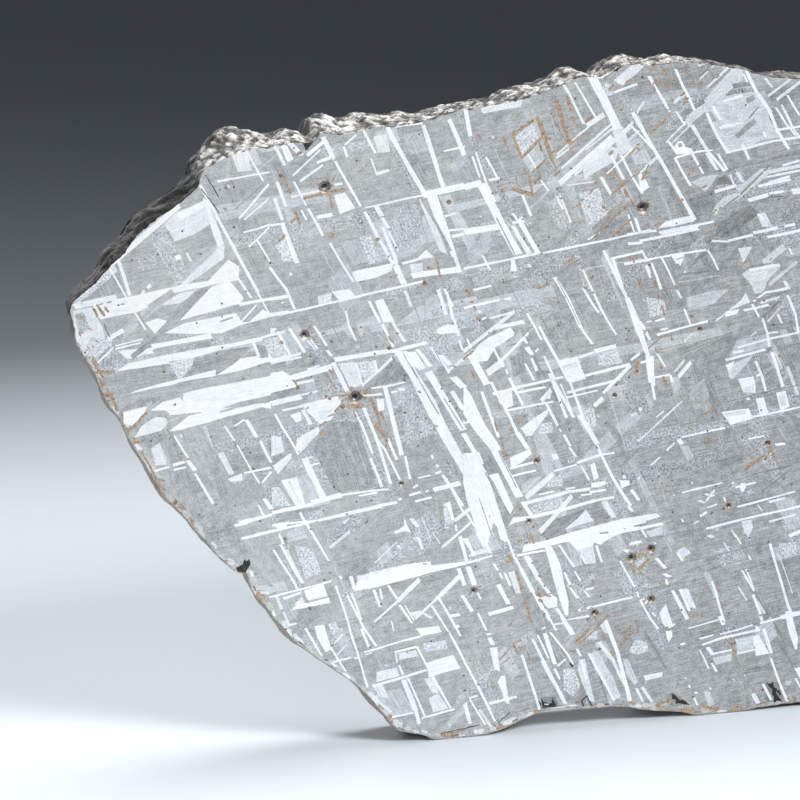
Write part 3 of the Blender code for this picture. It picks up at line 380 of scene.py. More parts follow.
BARS = {
    "dark": (
        (-87.5, 66.5, -85.5, 68.3, 0.3), (-82.2, 66.5, -77.4, 70, 0.8), (-55.1, 98.3, -54.3, 98.5, 0.9),
        (17.8, 106, 20.8, 106.4, 0.7), (11.3, 102.9, 12.8, 103.8, 0.7), (11.3, 107.2, 15, 110, 0.3),
        (13.8, 105.8, 17.3, 108.7, 0.35), (13.5, 91.9, 20, 92.9, 0.3), (20, 92.9, 25, 93.9, 0.35),
        (25, 93.9, 33, 95.2, 0.4), (19.6, 88.2, 23, 91.4, 0.3), (23, 91.4, 25, 93.2, 0.35),
        (15.6, 85.5, 19.4, 88, 0.3), (6, 98.8, 8.4, 99.1, 0.3), (-15, 70, -12, 64, 0.3),
        (-10, 69, -8, 65, 0.3), (-10.3, 64, -4.9, 64.6, 0.3), (9, 75.4, 20, 76.4, 0.4),
        (14.5, 70, 18, 70.6, 0.3), (30, 76.5, 26, 72.9, 0.3), (27, 70.2, 24, 67.5, 0.4),
        (24, 67.5, 22, 65.8, 0.3), (-54.9, 26.2, -54, 25, 0.3), (-3.5, 45, -1, 40.8, 0.35),
        (-0.7, 42.6, 0.3, 42.7, 0.35), (22.7, 41, 30, 42.2, 0.3), (25, 38.3, 30, 41.5, 0.4),
        (20, 24.5, 25.8, 25.5, 0.3), (3.9, 15.5, 6, 11.5, 0.4), (4.6, 14.8, 8, 8.6, 0.4),
    ),
    "grey": (
        (-70.5, 78.2, -66.6, 81.6, 0.5), (-79.4, 74.1, -75.5, 76.5, 1.1), (-68, 71.4, -66, 72, 0.3),
        (-74.7, 71.6, -65, 73, 0.5), (-78.7, 67, -68, 69.3, 0.9), (-84, 60, -60, 63.6, 1.2),
        (-79.5, 58.1, -77.4, 59.6, 0.5), (-68.3, 57.1, -62.2, 58.3, 0.35), (-35.2, 89.9, -30.2, 81, 0.5),
        (20.3, 103.5, 21.7, 104.2, 0.9), (18.6, 97.7, 21.9, 100.3, 0.9), (13.8, 102, 14.8, 100.3, 0.7),
        (-49, 54, -44.6, 43.6, 0.5), (-47.2, 53.6, -43.8, 44.6, 0.3), (26.5, 77.7, 28.8, 78.8, 0.8),
        (-51.3, 27.9, -50.6, 26.2, 0.5), (-36.4, 10.2, -34, 5, 0.6),
    ),
    "light": (
        (-4.6, 79, -0.6, 70.4, 0.4), (9, 74.2, 16, 75, 0.3), (-30.4, 2.3, -27.7, 5, 1),
    ),
    "pale": (
        (-88.4, 78.2, -84.4, 80.6, 1.1), (-68.3, 50.5, -66.5, 46.9, 0.9), (-37.9, 74.9, -36.9, 72.4, 0.5),
        (1, 102, 3.7, 96.6, 0.6), (2.4, 103.9, 1.2, 102.2, 0.4), (-12.6, 95.3, -10.3, 96.8, 0.35),
        (-10.5, 90.8, -5.5, 91.3, 0.2), (-7.6, 91.8, 1.6, 99.2, 0.4), (24, 104.2, 29, 107.6, 0.4),
        (25.6, 103.6, 30, 106.6, 0.5), (13.4, 106, 17.4, 109.4, 0.4), (12, 107.3, 14.8, 109.8, 0.3),
        (7.5, 103.6, 9.8, 105.2, 0.5), (2.9, 93.3, 5, 95, 0.5), (1.3, 92, 4.8, 94.7, 0.3),
        (23.5, 91.6, 31.5, 92.9, 0.6), (18.9, 92, 20, 90.3, 0.6), (17.7, 91.6, 18.3, 90, 0.3),
        (6.3, 97.2, 10, 100.6, 0.35), (7.2, 96.9, 10.8, 100.2, 0.25), (-57.2, 45.2, -55.2, 41.2, 0.4),
        (-11, 61, -8.5, 61.5, 0.9), (1, 52.4, 2, 52.8, 0.5), (2.3, 53.3, 2.9, 53.5, 0.5),
        (23.6, 70.1, 27.1, 70.9, 0.4), (25, 65, 26.9, 65.1, 0.35), (10.2, 64.4, 11.7, 65.6, 0.3),
        (22, 64.6, 23.1, 65.3, 0.25), (8.5, 59.2, 10.2, 61.2, 0.4), (26.5, 61.5, 27.9, 59, 0.3),
        (28.8, 59.2, 30.8, 54.2, 0.5), (2.3, 48, 10, 54.4, 0.3), (5.4, 51.9, 6.7, 52.9, 0.3),
        (-57.6, 34, -55.6, 29.4, 0.5), (-50.4, 33.9, -47.1, 36.4, 0.5), (-43, 30.7, -39.2, 34, 0.25),
        (-48.2, 37.7, -47.2, 38.4, 0.35), (-54, 25.4, -50.8, 26, 0.25), (-62.1, 27.3, -60.6, 27.1, 0.4),
        (-59.4, 26.5, -58.5, 24.2, 0.5), (-58.3, 23.8, -57.3, 21.5, 0.4), (-49.4, 16, -47.7, 17.5, 0.25),
        (-49.8, 17.9, -48.3, 19.2, 0.35), (-34.6, 21.7, -33.4, 20.8, 0.5), (-42.1, 7.3, -40.2, 5.4, 0.5),
        (-25, 4.6, -22.9, 1.3, 0.4), (-36.9, 37.7, -35.6, 36.2, 0.6), (-36.4, 34.3, -35.6, 34.4, 0.25),
        (-39.1, 33.4, -38.6, 32.8, 0.5), (-31, 35.7, -30.4, 35.8, 0.3), (-35, 37.8, -33.6, 34, 0.15),
        (-33.2, 35.2, -31.9, 33.2, 0.2), (-3.6, 38.3, -1.8, 35.5, 0.9), (13.4, 37.3, 14.3, 36.9, 0.4),
        (24.2, 19.2, 25.8, 16.8, 0.5), (20.8, 22, 22.5, 19.4, 0.3), (28.1, 27, 30.8, 20, 0.2),
        (19.3, 31.9, 20.2, 30.5, 0.3), (15.2, 31.2, 16, 30.8, 0.5), (18, 29.8, 19, 28.2, 0.3),
        (24, 35.8, 24.8, 34.7, 0.3), (-4.2, 14.5, -1.5, 10.9, 0.8), (-1.5, 10.9, 0.6, 6.6, 0.6),
        (3.7, 5.9, 5.6, 3.1, 0.5), (-11.5, 10.8, -10, 11.9, 0.4),
    ),
    "flecked": (
        (-91, 75.4, -85.4, 79.7, 1), (22.2, 38.4, 23, 37.9, 0.6),
    ),
    "milky": (
        (25, 73.1, 30, 76.7, 0.6), (24, 76.7, 27.7, 79.4, 1.2), (25, 66.9, 27.7, 69.6, 0.4),
    ),
    "cream": (
        (-61.6, 45.2, -60, 46.9, 0.4), (-9.5, 107.3, -5.9, 101.6, 0.35), (-10.6, 105.7, -7.9, 100.6, 0.4),
        (-7.6, 96.4, -3, 99.7, 0.3), (-7.4, 100.3, -4.4, 102, 0.8), (-11.6, 93.6, -2.6, 101, 0.4),
        (-9.4, 92.4, 0.6, 100.6, 0.45), (-6.6, 94.4, 0.4, 99.9, 0.35), (-12.4, 95.9, -6, 101, 0.3),
        (-3.8, 92.4, 0.6, 96.4, 0.3), (-45, 60, -40, 64.2, 0.5), (-30.8, 61.5, -28, 63.4, 0.5),
        (-28, 64.6, -19.4, 70.8, 0.65), (-22.4, 65.4, -19.5, 67.1, 0.6), (-24, 60.8, -21.3, 62.6, 1.1),
        (-4, 56.5, 0.8, 60.8, 0.6), (-5.5, 54.4, -4, 55.6, 0.8), (0.8, 61.7, 2.4, 62.7, 0.5),
        (-14.7, 55.8, -13, 57.5, 0.8), (-43.1, 20.8, -39, 24.2, 0.35), (-39, 24.2, -35.4, 27.4, 0.75),
        (-36, 21, -31.7, 24.6, 0.5), (-31.7, 24.6, -28.3, 27.7, 0.8), (-31.7, 32.5, -29.4, 34.2, 0.45),
        (-29.4, 34.2, -26.7, 36.3, 0.4), (-29.4, 36.7, -26.9, 38.6, 0.6), (-17.2, 39.8, -12.5, 43.5, 0.9),
        (-14.7, 33.9, -9.2, 39.6, 0.8), (14.6, 37.2, 16.1, 38.9, 0.4), (13.6, 34.5, 14.8, 35.2, 0.4),
        (14.9, 35.9, 16.7, 36.5, 0.3), (12.5, 33.4, 13.3, 33.8, 0.25), (2.3, 41.6, 2.7, 42, 0.35),
        (7.3, 46.1, 8.8, 47.4, 0.35), (4.6, 43.8, 6.3, 45.1, 0.3), (5.2, 30.6, 5.7, 30.6, 0.35),
        (-13.6, 4.4, -12.9, 4.3, 0.2), (3.6, 4, 4, 3.4, 0.4), (5.3, 18.7, 5.9, 18, 0.3),
    ),
    "white": (
        (-85.6, 80.9, -74.3, 89.9, 0.9), (-85.7, 81, -79.9, 70.7, 0.3), (-84, 81.8, -82.3, 76.2, 0.5),
        (-71, 93, -62, 75.8, 0.5), (-68.5, 88, -60, 72, 0.3), (-65.3, 78.5, -63, 75, 0.35),
        (-65, 74, -57.2, 75, 0.5), (-64.7, 71.3, -62.2, 73.7, 0.3), (-75, 81.7, -74.2, 82, 0.8),
        (-73.3, 82.5, -72.6, 81.1, 0.35), (-79.6, 77.2, -79, 77.7, 0.6), (-80.5, 76.5, -80, 76.9, 0.4),
        (-68.3, 93.4, -60, 94.6, 0.3), (-63.5, 98, -61, 93.3, 0.3), (-64.8, 87.5, -60, 92.7, 0.35),
        (-64, 87.3, -60, 90.5, 0.25), (-64.2, 85.3, -60, 86.3, 0.3), (-63.3, 83, -60, 86, 0.3),
        (-62, 84, -60, 80.6, 0.3), (-91.1, 74.9, -84.4, 76.1, 0.9), (-85.9, 69.5, -83.4, 70.9, 0.7),
        (-87.8, 65.8, -85.1, 68.1, 0.25), (-84.8, 68.4, -80.4, 69.3, 0.25),
        (-84.8, 68, -80.8, 68.7, 0.25), (-79, 68, -69.5, 69.3, 0.8), (-75.7, 53.8, -73.5, 50, 0.35),
        (-73.6, 49.6, -72.4, 47.9, 0.6), (-72.4, 47.5, -69.5, 42.3, 0.45),
        (-79.1, 48.2, -76.5, 48.8, 0.35), (-76, 49, -74, 49.4, 0.5), (-75.8, 48.3, -73.8, 48.6, 0.35),
        (-67.5, 54.8, -66, 52.3, 0.35), (-65.6, 51.6, -62, 45.2, 0.3), (-66, 54.6, -64.3, 55.6, 0.3),
        (-64, 55.6, -62.4, 52.7, 0.6), (-61.8, 52.1, -60, 48.3, 0.4), (-64.5, 46.9, -60, 47.6, 0.35),
        (-66.2, 38.5, -60, 40, 0.5), (-61.2, 42.7, -60, 40.8, 0.6), (-62.2, 41.7, -61.4, 40, 0.4),
        (-61.3, 68.6, -57.8, 69.3, 0.4), (-62.8, 67.9, -61.9, 65.6, 0.5), (-59.2, 99, -57.4, 95.5, 0.5),
        (-56.9, 99.3, -54.7, 97, 0.8), (-56.2, 93.9, -51.7, 97.8, 0.3), (-53.8, 97, -51, 99.2, 0.6),
        (-52.3, 95.8, -50, 96.6, 0.5), (-55, 93, -51.3, 95.4, 0.35), (-51.3, 99.9, -49.6, 96.5, 0.8),
        (-49.6, 96.5, -45.2, 88.7, 0.4), (-56.5, 90.6, -51.7, 91.4, 0.3),
        (-49.6, 92.2, -48.1, 92.4, 0.35), (-52.3, 87.2, -49.8, 87.6, 0.6), (-56, 93, -54, 89.1, 0.35),
        (-53.7, 88.7, -51.3, 84.3, 0.4), (-54.8, 88.5, -54, 86.8, 0.3), (-58.7, 93, -57.3, 89.1, 0.5),
        (-59.2, 90.5, -57.9, 87, 0.5), (-60, 86.2, -57.5, 86.5, 0.3), (-57.9, 86.4, -55.6, 80.1, 0.7),
        (-60, 79.7, -57.5, 76.2, 0.45), (-57.5, 76.2, -56, 72.8, 0.45), (-60, 74.5, -57, 74.9, 0.3),
        (-58.7, 72, -46, 74.3, 0.35), (-46, 74.3, -35, 76.3, 0.35), (-50.2, 83.1, -46.4, 76.7, 0.35),
        (-44.5, 87.8, -40, 79.5, 0.5), (-42.7, 88.7, -41.7, 87, 0.8), (-41.7, 86.8, -40.6, 85.1, 0.5),
        (-41.5, 85.3, -39.2, 79.5, 0.6), (-40.6, 84.7, -39, 81.4, 0.3), (-39.8, 80, -38, 76, 1),
        (-44.4, 88.4, -35, 90.1, 0.3), (-35, 90.1, -28, 91.4, 1), (-40.8, 101, -37.3, 94.7, 0.7),
        (-37.3, 94.7, -34.6, 90.3, 0.7), (-44.8, 100.8, -42.7, 97, 0.4), (-43.5, 96.2, -42.5, 93.5, 0.3),
        (-42.7, 93.7, -40.5, 94.2, 0.45), (-39.6, 101.2, -35, 101.6, 0.6),
        (-34.9, 101.2, -31.5, 91.2, 0.7), (-30.6, 102, -28, 96.2, 0.7), (-31.5, 97, -28, 97.6, 0.3),
        (-47.7, 98.5, -45.8, 100, 0.3), (-47.9, 98.3, -47.3, 96.6, 0.4), (-38.3, 79.3, -35, 80.1, 0.4),
        (-36.7, 77.3, -28.5, 78, 0.9), (-30.6, 84.3, -28, 84.5, 0.4), (-30, 83.3, -28, 83.7, 0.5),
        (-31.2, 86.6, -29.4, 87, 0.4), (-31.3, 75, -29.8, 72, 0.4), (-29.6, 80.3, -28.8, 78, 0.6),
        (-43.8, 73.6, -42.1, 70.1, 0.5), (-47.7, 72.2, -47.2, 70, 0.4), (-32.3, 74.9, -31, 70.8, 0.6),
        (-30.8, 74.3, -29.8, 70, 0.5), (-6.9, 108.7, -2, 99.6, 1.4), (-11.75, 107.3, -10.6, 105.6, 0.5),
        (-28, 104, -27, 99.2, 0.7), (-26.7, 96, -25.5, 92.6, 0.4), (-26.1, 96.6, -24.2, 91.4, 0.3),
        (-24.2, 91.4, -22.8, 88.6, 0.3), (-24.4, 95.8, -22.4, 92.3, 0.35), (-23.9, 92.1, -22, 92.4, 0.4),
        (-28, 91.2, -25.1, 91.8, 1), (-25.3, 91.6, -21.7, 84.9, 1.3), (-21.7, 84.9, -18.9, 80, 1.4),
        (-18.5, 85.1, -15.5, 80, 0.8), (-19.8, 84.7, -17, 80, 0.7), (-28, 84, -21, 84.7, 1),
        (-20, 85.1, -17.8, 85.3, 0.4), (-19.9, 86.7, -19, 85.5, 0.35), (-19, 85.5, -18.2, 86, 0.35),
        (-18.2, 89.5, -16.7, 86.1, 0.45), (-12.4, 89.1, -11.3, 87, 0.4), (-11.8, 89.3, -10, 84.8, 0.3),
        (-15.1, 91.8, -13.8, 90, 0.3), (-17.4, 96.2, -16, 93.7, 0.3), (-12, 91.2, -3, 98.5, 0.8),
        (-2.8, 105.5, 1.2, 106.8, 0.4), (-7, 81.8, -4.9, 83, 0.3), (-14.7, 80, -0.7, 82.2, 0.35),
        (-0.7, 82.2, 4, 83, 0.4), (-4.9, 92, -3, 89, 0.5), (-3.2, 95.3, -0.9, 91.4, 0.5),
        (-1.4, 95.3, 0.8, 91.4, 0.45), (0.8, 91.4, 2.4, 89, 0.45), (0, 100.3, 4, 96.2, 0.35),
        (3.2, 108, 4, 106.6, 0.5), (1.2, 85.1, 2, 82.8, 0.5), (-0.1, 85.7, 1, 82.8, 0.3),
        (0.4, 102.2, 6.9, 92, 0.6), (6.9, 92, 11.6, 84.4, 0.6), (3.1, 108, 6.9, 102.2, 0.45),
        (7.7, 109, 11.2, 102.3, 0.45), (7.9, 102.2, 9.6, 99.8, 0.3), (10.8, 99.9, 13.6, 95.6, 0.6),
        (13.6, 95.6, 16.8, 92.2, 0.5), (13.3, 101.8, 15.4, 97.8, 0.5), (15.4, 97.8, 17.4, 95.2, 0.4),
        (14.4, 102.8, 15.8, 100.5, 0.5), (16.2, 103.6, 19.6, 104.4, 0.45), (15.6, 99.3, 18.5, 99.7, 0.45),
        (16, 99.7, 19.8, 100, 0.2), (19.6, 109.5, 22.1, 104.9, 0.55), (22.1, 104.9, 24.6, 101.5, 0.6),
        (24.6, 101.5, 25.8, 98.6, 0.5), (25.8, 98.6, 28, 95.4, 0.5), (19.7, 108, 20.4, 106.6, 0.35),
        (23.5, 107.2, 24.8, 105.7, 0.35), (25.5, 102.4, 27.3, 99.7, 0.35), (27.3, 99.7, 29.2, 97.6, 0.35),
        (26.5, 102.8, 28.5, 99.1, 0.4), (28.5, 99.1, 29.8, 97.5, 0.35), (27.5, 104.3, 29.7, 101, 0.35),
        (20.8, 95.9, 25, 96.8, 0.45), (25, 96.8, 33, 97.8, 0.4), (17, 95.3, 20.8, 95.9, 0.3),
        (19.7, 96.6, 21, 94, 0.5), (23.5, 98.3, 23.8, 97.6, 0.4), (21, 87.2, 24.6, 88, 0.65),
        (24.7, 88.2, 27.3, 88.5, 0.45), (22.7, 89.5, 28.5, 90.5, 0.45), (24.6, 90.1, 28.3, 91, 0.35),
        (27, 92.8, 30, 93.5, 0.35), (28.8, 88.4, 33, 88.7, 0.9), (15, 88.9, 18.8, 89.8, 0.55),
        (5.4, 82.6, 15, 84, 0.35), (2, 81.3, 12.5, 82.9, 0.45), (-0.2, 82.5, 5, 82.9, 0.35),
        (0, 80.9, 2.5, 81, 0.5), (17.5, 80.7, 22, 81.5, 0.45), (22, 81.8, 26.3, 82.5, 0.5),
        (27.7, 82.7, 29.8, 83, 0.45), (24.6, 81, 31, 82, 0.45), (14.6, 80.8, 17.5, 80.6, 0.35),
        (22.8, 85, 23.8, 84, 0.4), (8.7, 107, 9.3, 105.6, 0.45), (6.7, 97.4, 8.5, 95.2, 0.4),
        (7.9, 94.7, 10.8, 90, 0.45), (8, 94.7, 12, 95.6, 0.35), (12, 95.6, 14.5, 95.7, 0.3),
        (10.9, 95.2, 12.9, 91.9, 0.4), (13.4, 95.3, 15.4, 92.4, 0.6), (15.4, 95.1, 17.2, 92.4, 0.45),
        (-60, 64.4, -55, 65.2, 0.35), (-49.6, 64.4, -40, 65.4, 0.8), (-40, 65.3, -34.2, 66.4, 0.6),
        (-49.8, 64, -47.5, 59.2, 0.7), (-46, 63.6, -44.9, 60, 0.3), (-43, 64, -42.5, 62, 0.5),
        (-55.9, 60.9, -53, 61.3, 0.45), (-54, 63.1, -52, 63.6, 0.35), (-60, 57.9, -55, 58.8, 0.9),
        (-55, 59.1, -52.3, 59.5, 0.3), (-58.1, 56.7, -55.4, 57.1, 0.35), (-55.4, 57.1, -48.8, 58.4, 0.4),
        (-59.4, 56.3, -55.6, 49.4, 0.4), (-54.8, 56.6, -53.5, 54.2, 0.65), (-55, 48.6, -53.4, 48.9, 0.25),
        (-53.5, 47.5, -52.2, 47.8, 0.3), (-53.4, 41.4, -48.5, 42.4, 0.8), (-48.5, 42.4, -40.6, 42.9, 0.3),
        (-45.6, 42, -42.5, 42.4, 0.3), (-60, 40.2, -53.3, 41.2, 0.6), (-52.3, 38.5, -39.2, 40.6, 0.5),
        (-60, 38.2, -52.5, 38.5, 0.3), (-55.4, 40, -54.4, 38, 0.4), (-45.4, 54.4, -43.3, 48.8, 0.4),
        (-43.7, 48.1, -41.7, 43.2, 0.5), (-46.2, 55.8, -45.2, 53.8, 0.35),
        (-44.8, 56.4, -42.7, 51.5, 0.5), (-42.7, 51.5, -40.2, 43.6, 0.5),
        (-42.7, 51.3, -41.2, 49.4, 0.35), (-41.3, 49.6, -38.6, 44, 0.35),
        (-41.2, 59.6, -38.4, 48.3, 0.75), (-40.8, 51.2, -39.2, 47.5, 0.45),
        (-37.9, 48.1, -36.9, 44.2, 0.4), (-43.5, 59.5, -40, 59.8, 0.3), (-40, 59.8, -37.9, 60.2, 0.3),
        (-45, 58.3, -41.7, 58.4, 0.4), (-40.2, 58.6, -39.2, 58.7, 0.3), (-39, 59, -37.9, 59, 0.4),
        (-35.8, 65.4, -33.6, 62.5, 0.55), (-33.5, 65.6, -30.4, 61.2, 0.5), (-34, 61.7, -28, 51.7, 1.1),
        (-32, 64.2, -30.2, 62.5, 0.7), (-30, 58.3, -28, 55, 0.7), (-29.8, 60.6, -28, 58.7, 1),
        (-29.6, 70, -28.8, 67.2, 0.4), (-28.8, 66.5, -28.1, 64.8, 0.4), (-58.8, 69.4, -56.7, 65.4, 0.4),
        (-56.9, 69.8, -54.4, 65.8, 0.45), (-52.9, 70, -50.8, 66.7, 0.4), (-50.8, 66, -50, 65, 0.45),
        (-54, 67.7, -52.7, 66.2, 0.25), (-53.5, 67.8, -52.3, 66.3, 0.25), (-47.3, 70, -46, 67.3, 0.35),
        (-41.7, 69.8, -39.8, 66, 0.45), (-40, 70, -37.9, 66.7, 0.5), (-33, 42.2, -28.5, 43, 0.8),
        (-37.2, 41.6, -35.2, 42, 0.4), (-36.1, 40.5, -33.3, 41, 0.4), (-35.6, 44.3, -33.5, 44.7, 0.3),
        (-32.7, 44.8, -31.7, 45.2, 0.4), (-36.5, 42.7, -35.6, 43.2, 0.35), (-31.5, 44.6, -28, 39.2, 0.45),
        (-30.8, 40, -30, 38, 0.5), (-34.4, 42, -33.8, 42.2, 0.3), (-39, 40.9, -38.5, 41.1, 0.4),
        (-32.6, 46.4, -32.3, 45.9, 0.4), (-33.3, 48, -33.1, 47.4, 0.35), (-28, 78.1, -15.3, 80, 0.4),
        (-24.9, 80, -23.6, 77.7, 0.35), (-17.3, 78.1, -16.7, 78.1, 0.5), (-26.4, 74.5, -23.4, 75.1, 0.4),
        (-28, 71.7, -22, 72.8, 0.4), (-21.2, 72.8, -20, 72.9, 0.4), (-25.5, 71.2, -25.1, 70.8, 0.4),
        (-23.6, 69.8, -19.9, 70.6, 0.35), (-25, 69.7, -24.2, 70, 0.35), (-22.8, 68.2, -17.8, 69, 0.65),
        (-21.8, 62.6, -17, 67.1, 0.4), (-27.4, 66.7, -25.9, 62.9, 0.3), (-26.8, 64, -24, 59, 1.1),
        (-23.8, 66.5, -21.2, 61.7, 0.4), (-17.8, 66.3, -17.2, 65.4, 0.45),
        (-20.8, 61.4, -20.5, 60.6, 0.3), (-20.2, 60, -17.8, 55.2, 0.5), (-17.6, 62.1, -15.9, 59.2, 0.4),
        (-17.3, 64.8, -16.3, 63.5, 0.7), (-16.5, 62.9, -15.5, 60.8, 0.5), (-15.8, 64, -15.2, 64.4, 0.35),
        (-17.3, 70.4, -14.7, 65.8, 0.4), (-15.2, 68.1, -12, 62.3, 0.45), (-12, 62.3, -10.1, 58.7, 0.4),
        (-14.3, 63.2, -12.4, 59.4, 0.35), (-13.3, 60.2, -10.3, 52.7, 0.55), (-12.6, 59, -9, 52.7, 0.5),
        (-11.4, 58.4, -9.2, 53.4, 0.25), (-9.9, 59, -7.6, 53.1, 0.5), (-12.6, 76, -10.5, 72.7, 0.6),
        (-10.5, 72.7, -8, 67.5, 0.65), (-8, 67.5, -5.9, 64.7, 0.45), (-7.8, 76.9, -6.1, 73.5, 0.35),
        (-6.1, 73.5, -4.5, 70.4, 0.4), (-4.5, 70.4, -1.8, 66, 0.35), (-7.7, 74, -5, 69.8, 0.4),
        (-4.2, 80, -2.6, 76.9, 0.55), (-2.6, 76.9, 0, 72, 0.55), (0, 72, 2, 66.5, 0.8),
        (2, 66.5, 3.9, 61.8, 0.6), (-2.7, 78.8, -0.9, 74, 0.5), (0, 71.9, 2, 68.1, 0.35),
        (2, 68.1, 3.2, 66.6, 0.35), (-3, 78.6, 2.4, 79.5, 0.4), (-0.7, 77.6, 3.9, 78.2, 0.45),
        (2.4, 79.8, 3.2, 78.4, 0.3), (3.2, 77.2, 4, 75.2, 0.4), (3.4, 66, 4, 65.2, 0.5),
        (-8.2, 62.6, -5.7, 63.3, 0.4), (-5.6, 63.5, -1.8, 64.2, 0.75), (-9.7, 59.1, 0.8, 61, 0.5),
        (-10.3, 56.9, -1, 58.6, 0.4), (-10.5, 56, -4.9, 57, 0.3), (-23, 57.4, -18.4, 58.3, 0.5),
        (-18.4, 58.3, -10.9, 59.5, 0.4), (-18.8, 57.4, -14, 58.1, 0.35), (-20.9, 54.5, -12.6, 55.6, 0.35),
        (-13.8, 55.2, -11.8, 51.5, 0.5), (-24.9, 57.9, -22, 50.2, 0.5), (-23.4, 59.4, -20.9, 55, 0.5),
        (-20.9, 55, -18.8, 50.8, 0.5), (-18.8, 50.8, -16.9, 48, 0.7), (-28, 51.2, -26, 48, 0.7),
        (-28, 52.9, -27, 53, 0.3), (-8, 53.1, -4.9, 48, 0.8), (-10.7, 50, -9.5, 48, 0.45),
        (-11.5, 51, -11.2, 50.5, 0.3), (0.8, 77.9, 13.7, 79.4, 0.35), (2.7, 79.4, 3.1, 78.1, 0.3),
        (4.2, 77.5, 5.9, 73.2, 0.45), (3.4, 77.3, 4, 75.8, 0.3), (5.9, 78.4, 8.3, 73.8, 0.35),
        (8.6, 72.9, 9.6, 71.5, 0.35), (10, 69.8, 11.2, 67.1, 0.35), (7.5, 79, 8.8, 77.3, 0.3),
        (14, 79.4, 16, 75.9, 0.4), (5.3, 65.7, 14.3, 67.5, 0.4), (6, 66.4, 7.3, 66.7, 0.3),
        (4.9, 68, 6.7, 68.3, 0.35), (3.5, 67.9, 4.3, 68, 0.3), (20.6, 69, 25.2, 69.7, 0.45),
        (22.3, 70.4, 24.5, 71.8, 0.35), (24.5, 71.8, 28.8, 72.4, 0.4), (21.5, 75.6, 26.9, 76.4, 0.5),
        (28.5, 79, 29.2, 77.9, 0.3), (22.1, 70, 23.4, 67.8, 0.35), (24.1, 67.5, 25, 65, 0.4),
        (25, 65, 25.4, 62.7, 0.45), (26.7, 68.1, 27.6, 66.5, 0.35), (28.5, 71.2, 30, 67.7, 0.45),
        (30, 67.7, 30.6, 64.8, 0.4), (27.8, 73.6, 28.7, 72.2, 0.5), (19.7, 62.8, 25.2, 64, 0.35),
        (25.2, 64, 30.6, 64.8, 0.35), (19, 62, 20.8, 62.3, 0.35), (17.6, 60.8, 24.8, 62.3, 0.4),
        (9.2, 58.4, 11.4, 60.8, 0.7), (5, 58.6, 7.7, 58.9, 0.35), (7.8, 58.9, 8.2, 57.7, 0.45),
        (0, 72, 2.1, 67.5, 0.8), (2.1, 67.5, 3.8, 62.3, 0.7), (4.6, 57.6, 5.2, 54.8, 0.5),
        (2.3, 68.1, 3.1, 66.9, 0.4), (3.5, 66.3, 4, 65.3, 0.3), (4.8, 63.5, 6.9, 60.3, 0.3),
        (2.5, 61.2, 3.5, 61.4, 0.4), (23, 60.4, 24.2, 57.7, 0.45), (24.2, 57.7, 25, 55.2, 0.5),
        (23.2, 57.9, 24.3, 58.1, 0.4), (25.9, 61.7, 28.1, 55.8, 0.6), (21.5, 54, 22.1, 54, 0.4),
        (22.7, 50.9, 27.7, 51.6, 0.3), (27.7, 51.6, 33, 52.3, 0.4), (10, 48.3, 17.7, 49.4, 0.35),
        (-65.4, 39.1, -60, 40, 0.35), (-66.2, 38.5, -64, 38.8, 0.3), (-65, 36.4, -58.3, 37.5, 0.5),
        (-58.3, 37.5, -52.9, 38.4, 0.4), (-52.4, 38.4, -42, 40, 0.4), (-59.8, 34.2, -55.8, 27.5, 0.4),
        (-58.8, 36.6, -58.1, 35, 0.4), (-58.6, 35, -56.7, 31.3, 0.4), (-56.7, 31.3, -55, 28.3, 0.5),
        (-55, 39.2, -50.6, 31.7, 0.35), (-60.6, 26.4, -55.4, 27.3, 0.35),
        (-55.4, 27.3, -50.2, 28.3, 0.35), (-58.2, 26, -55.4, 26.8, 0.35), (-57.5, 21.5, -56, 21.7, 0.35),
        (-54.6, 20.8, -51.9, 16, 0.4), (-50.4, 17.3, -47.9, 13.1, 0.3), (-50, 14.8, -46.9, 15.3, 0.35),
        (-46.5, 15.1, -45.7, 15.2, 0.3), (-49.5, 27.5, -48.1, 23.3, 0.35), (-48.1, 23.3, -46.9, 19, 0.35),
        (-46.9, 19, -45.6, 15, 0.35), (-45.6, 15, -44.2, 10, 0.35), (-48.9, 28.8, -48.4, 28.9, 0.5),
        (-47, 28.9, -46.4, 26.6, 0.6), (-47.8, 26.2, -44.8, 20, 0.35), (-44.8, 20, -42.7, 16.9, 0.35),
        (-46.9, 26, -45.2, 21.5, 0.3), (-45.2, 20, -44, 16.9, 0.45), (-44.8, 16, -38, 17.4, 0.35),
        (-44.6, 15.6, -43.5, 15.8, 0.25), (-43.2, 26.4, -42.1, 23.3, 0.45),
        (-42.1, 26.4, -41.7, 24.6, 0.3), (-40.7, 26.9, -39.2, 24.4, 0.4),
        (-40.2, 20.8, -39.8, 19.2, 0.25), (-43.5, 10.2, -38.1, 11.2, 0.45),
        (-38.9, 13.3, -38.2, 11.6, 0.4), (-39.6, 15.6, -35.8, 16.2, 0.35),
        (-39.5, 15.6, -39.2, 13.8, 0.3), (-39.6, 35.6, -38, 36, 0.5), (-33.3, 28.6, -25, 30, 0.35),
        (-38.8, 23.5, -36.7, 20.2, 0.4), (-37.9, 23.3, -36.3, 20.6, 0.18), (-38, 17.4, -35, 17.9, 0.35),
        (-33.3, 22.9, -31.7, 20.4, 0.35), (-31.7, 20.4, -30, 17.5, 0.3), (-30, 17.5, -25, 7.9, 0.4),
        (-25, 7.9, -22.3, 2.3, 0.4), (-32.1, 24, -29.8, 20, 0.4), (-29.8, 20, -28.3, 17.3, 0.4),
        (-30, 20.9, -28.5, 21, 0.55), (-29.4, 19, -28.6, 19.1, 0.5), (-28.8, 28.8, -27.7, 25.8, 0.6),
        (-27.1, 29, -25.9, 25.7, 0.85), (-22.7, 29.2, -22, 28, 0.4), (-28.1, 24.2, -26.3, 21.3, 0.6),
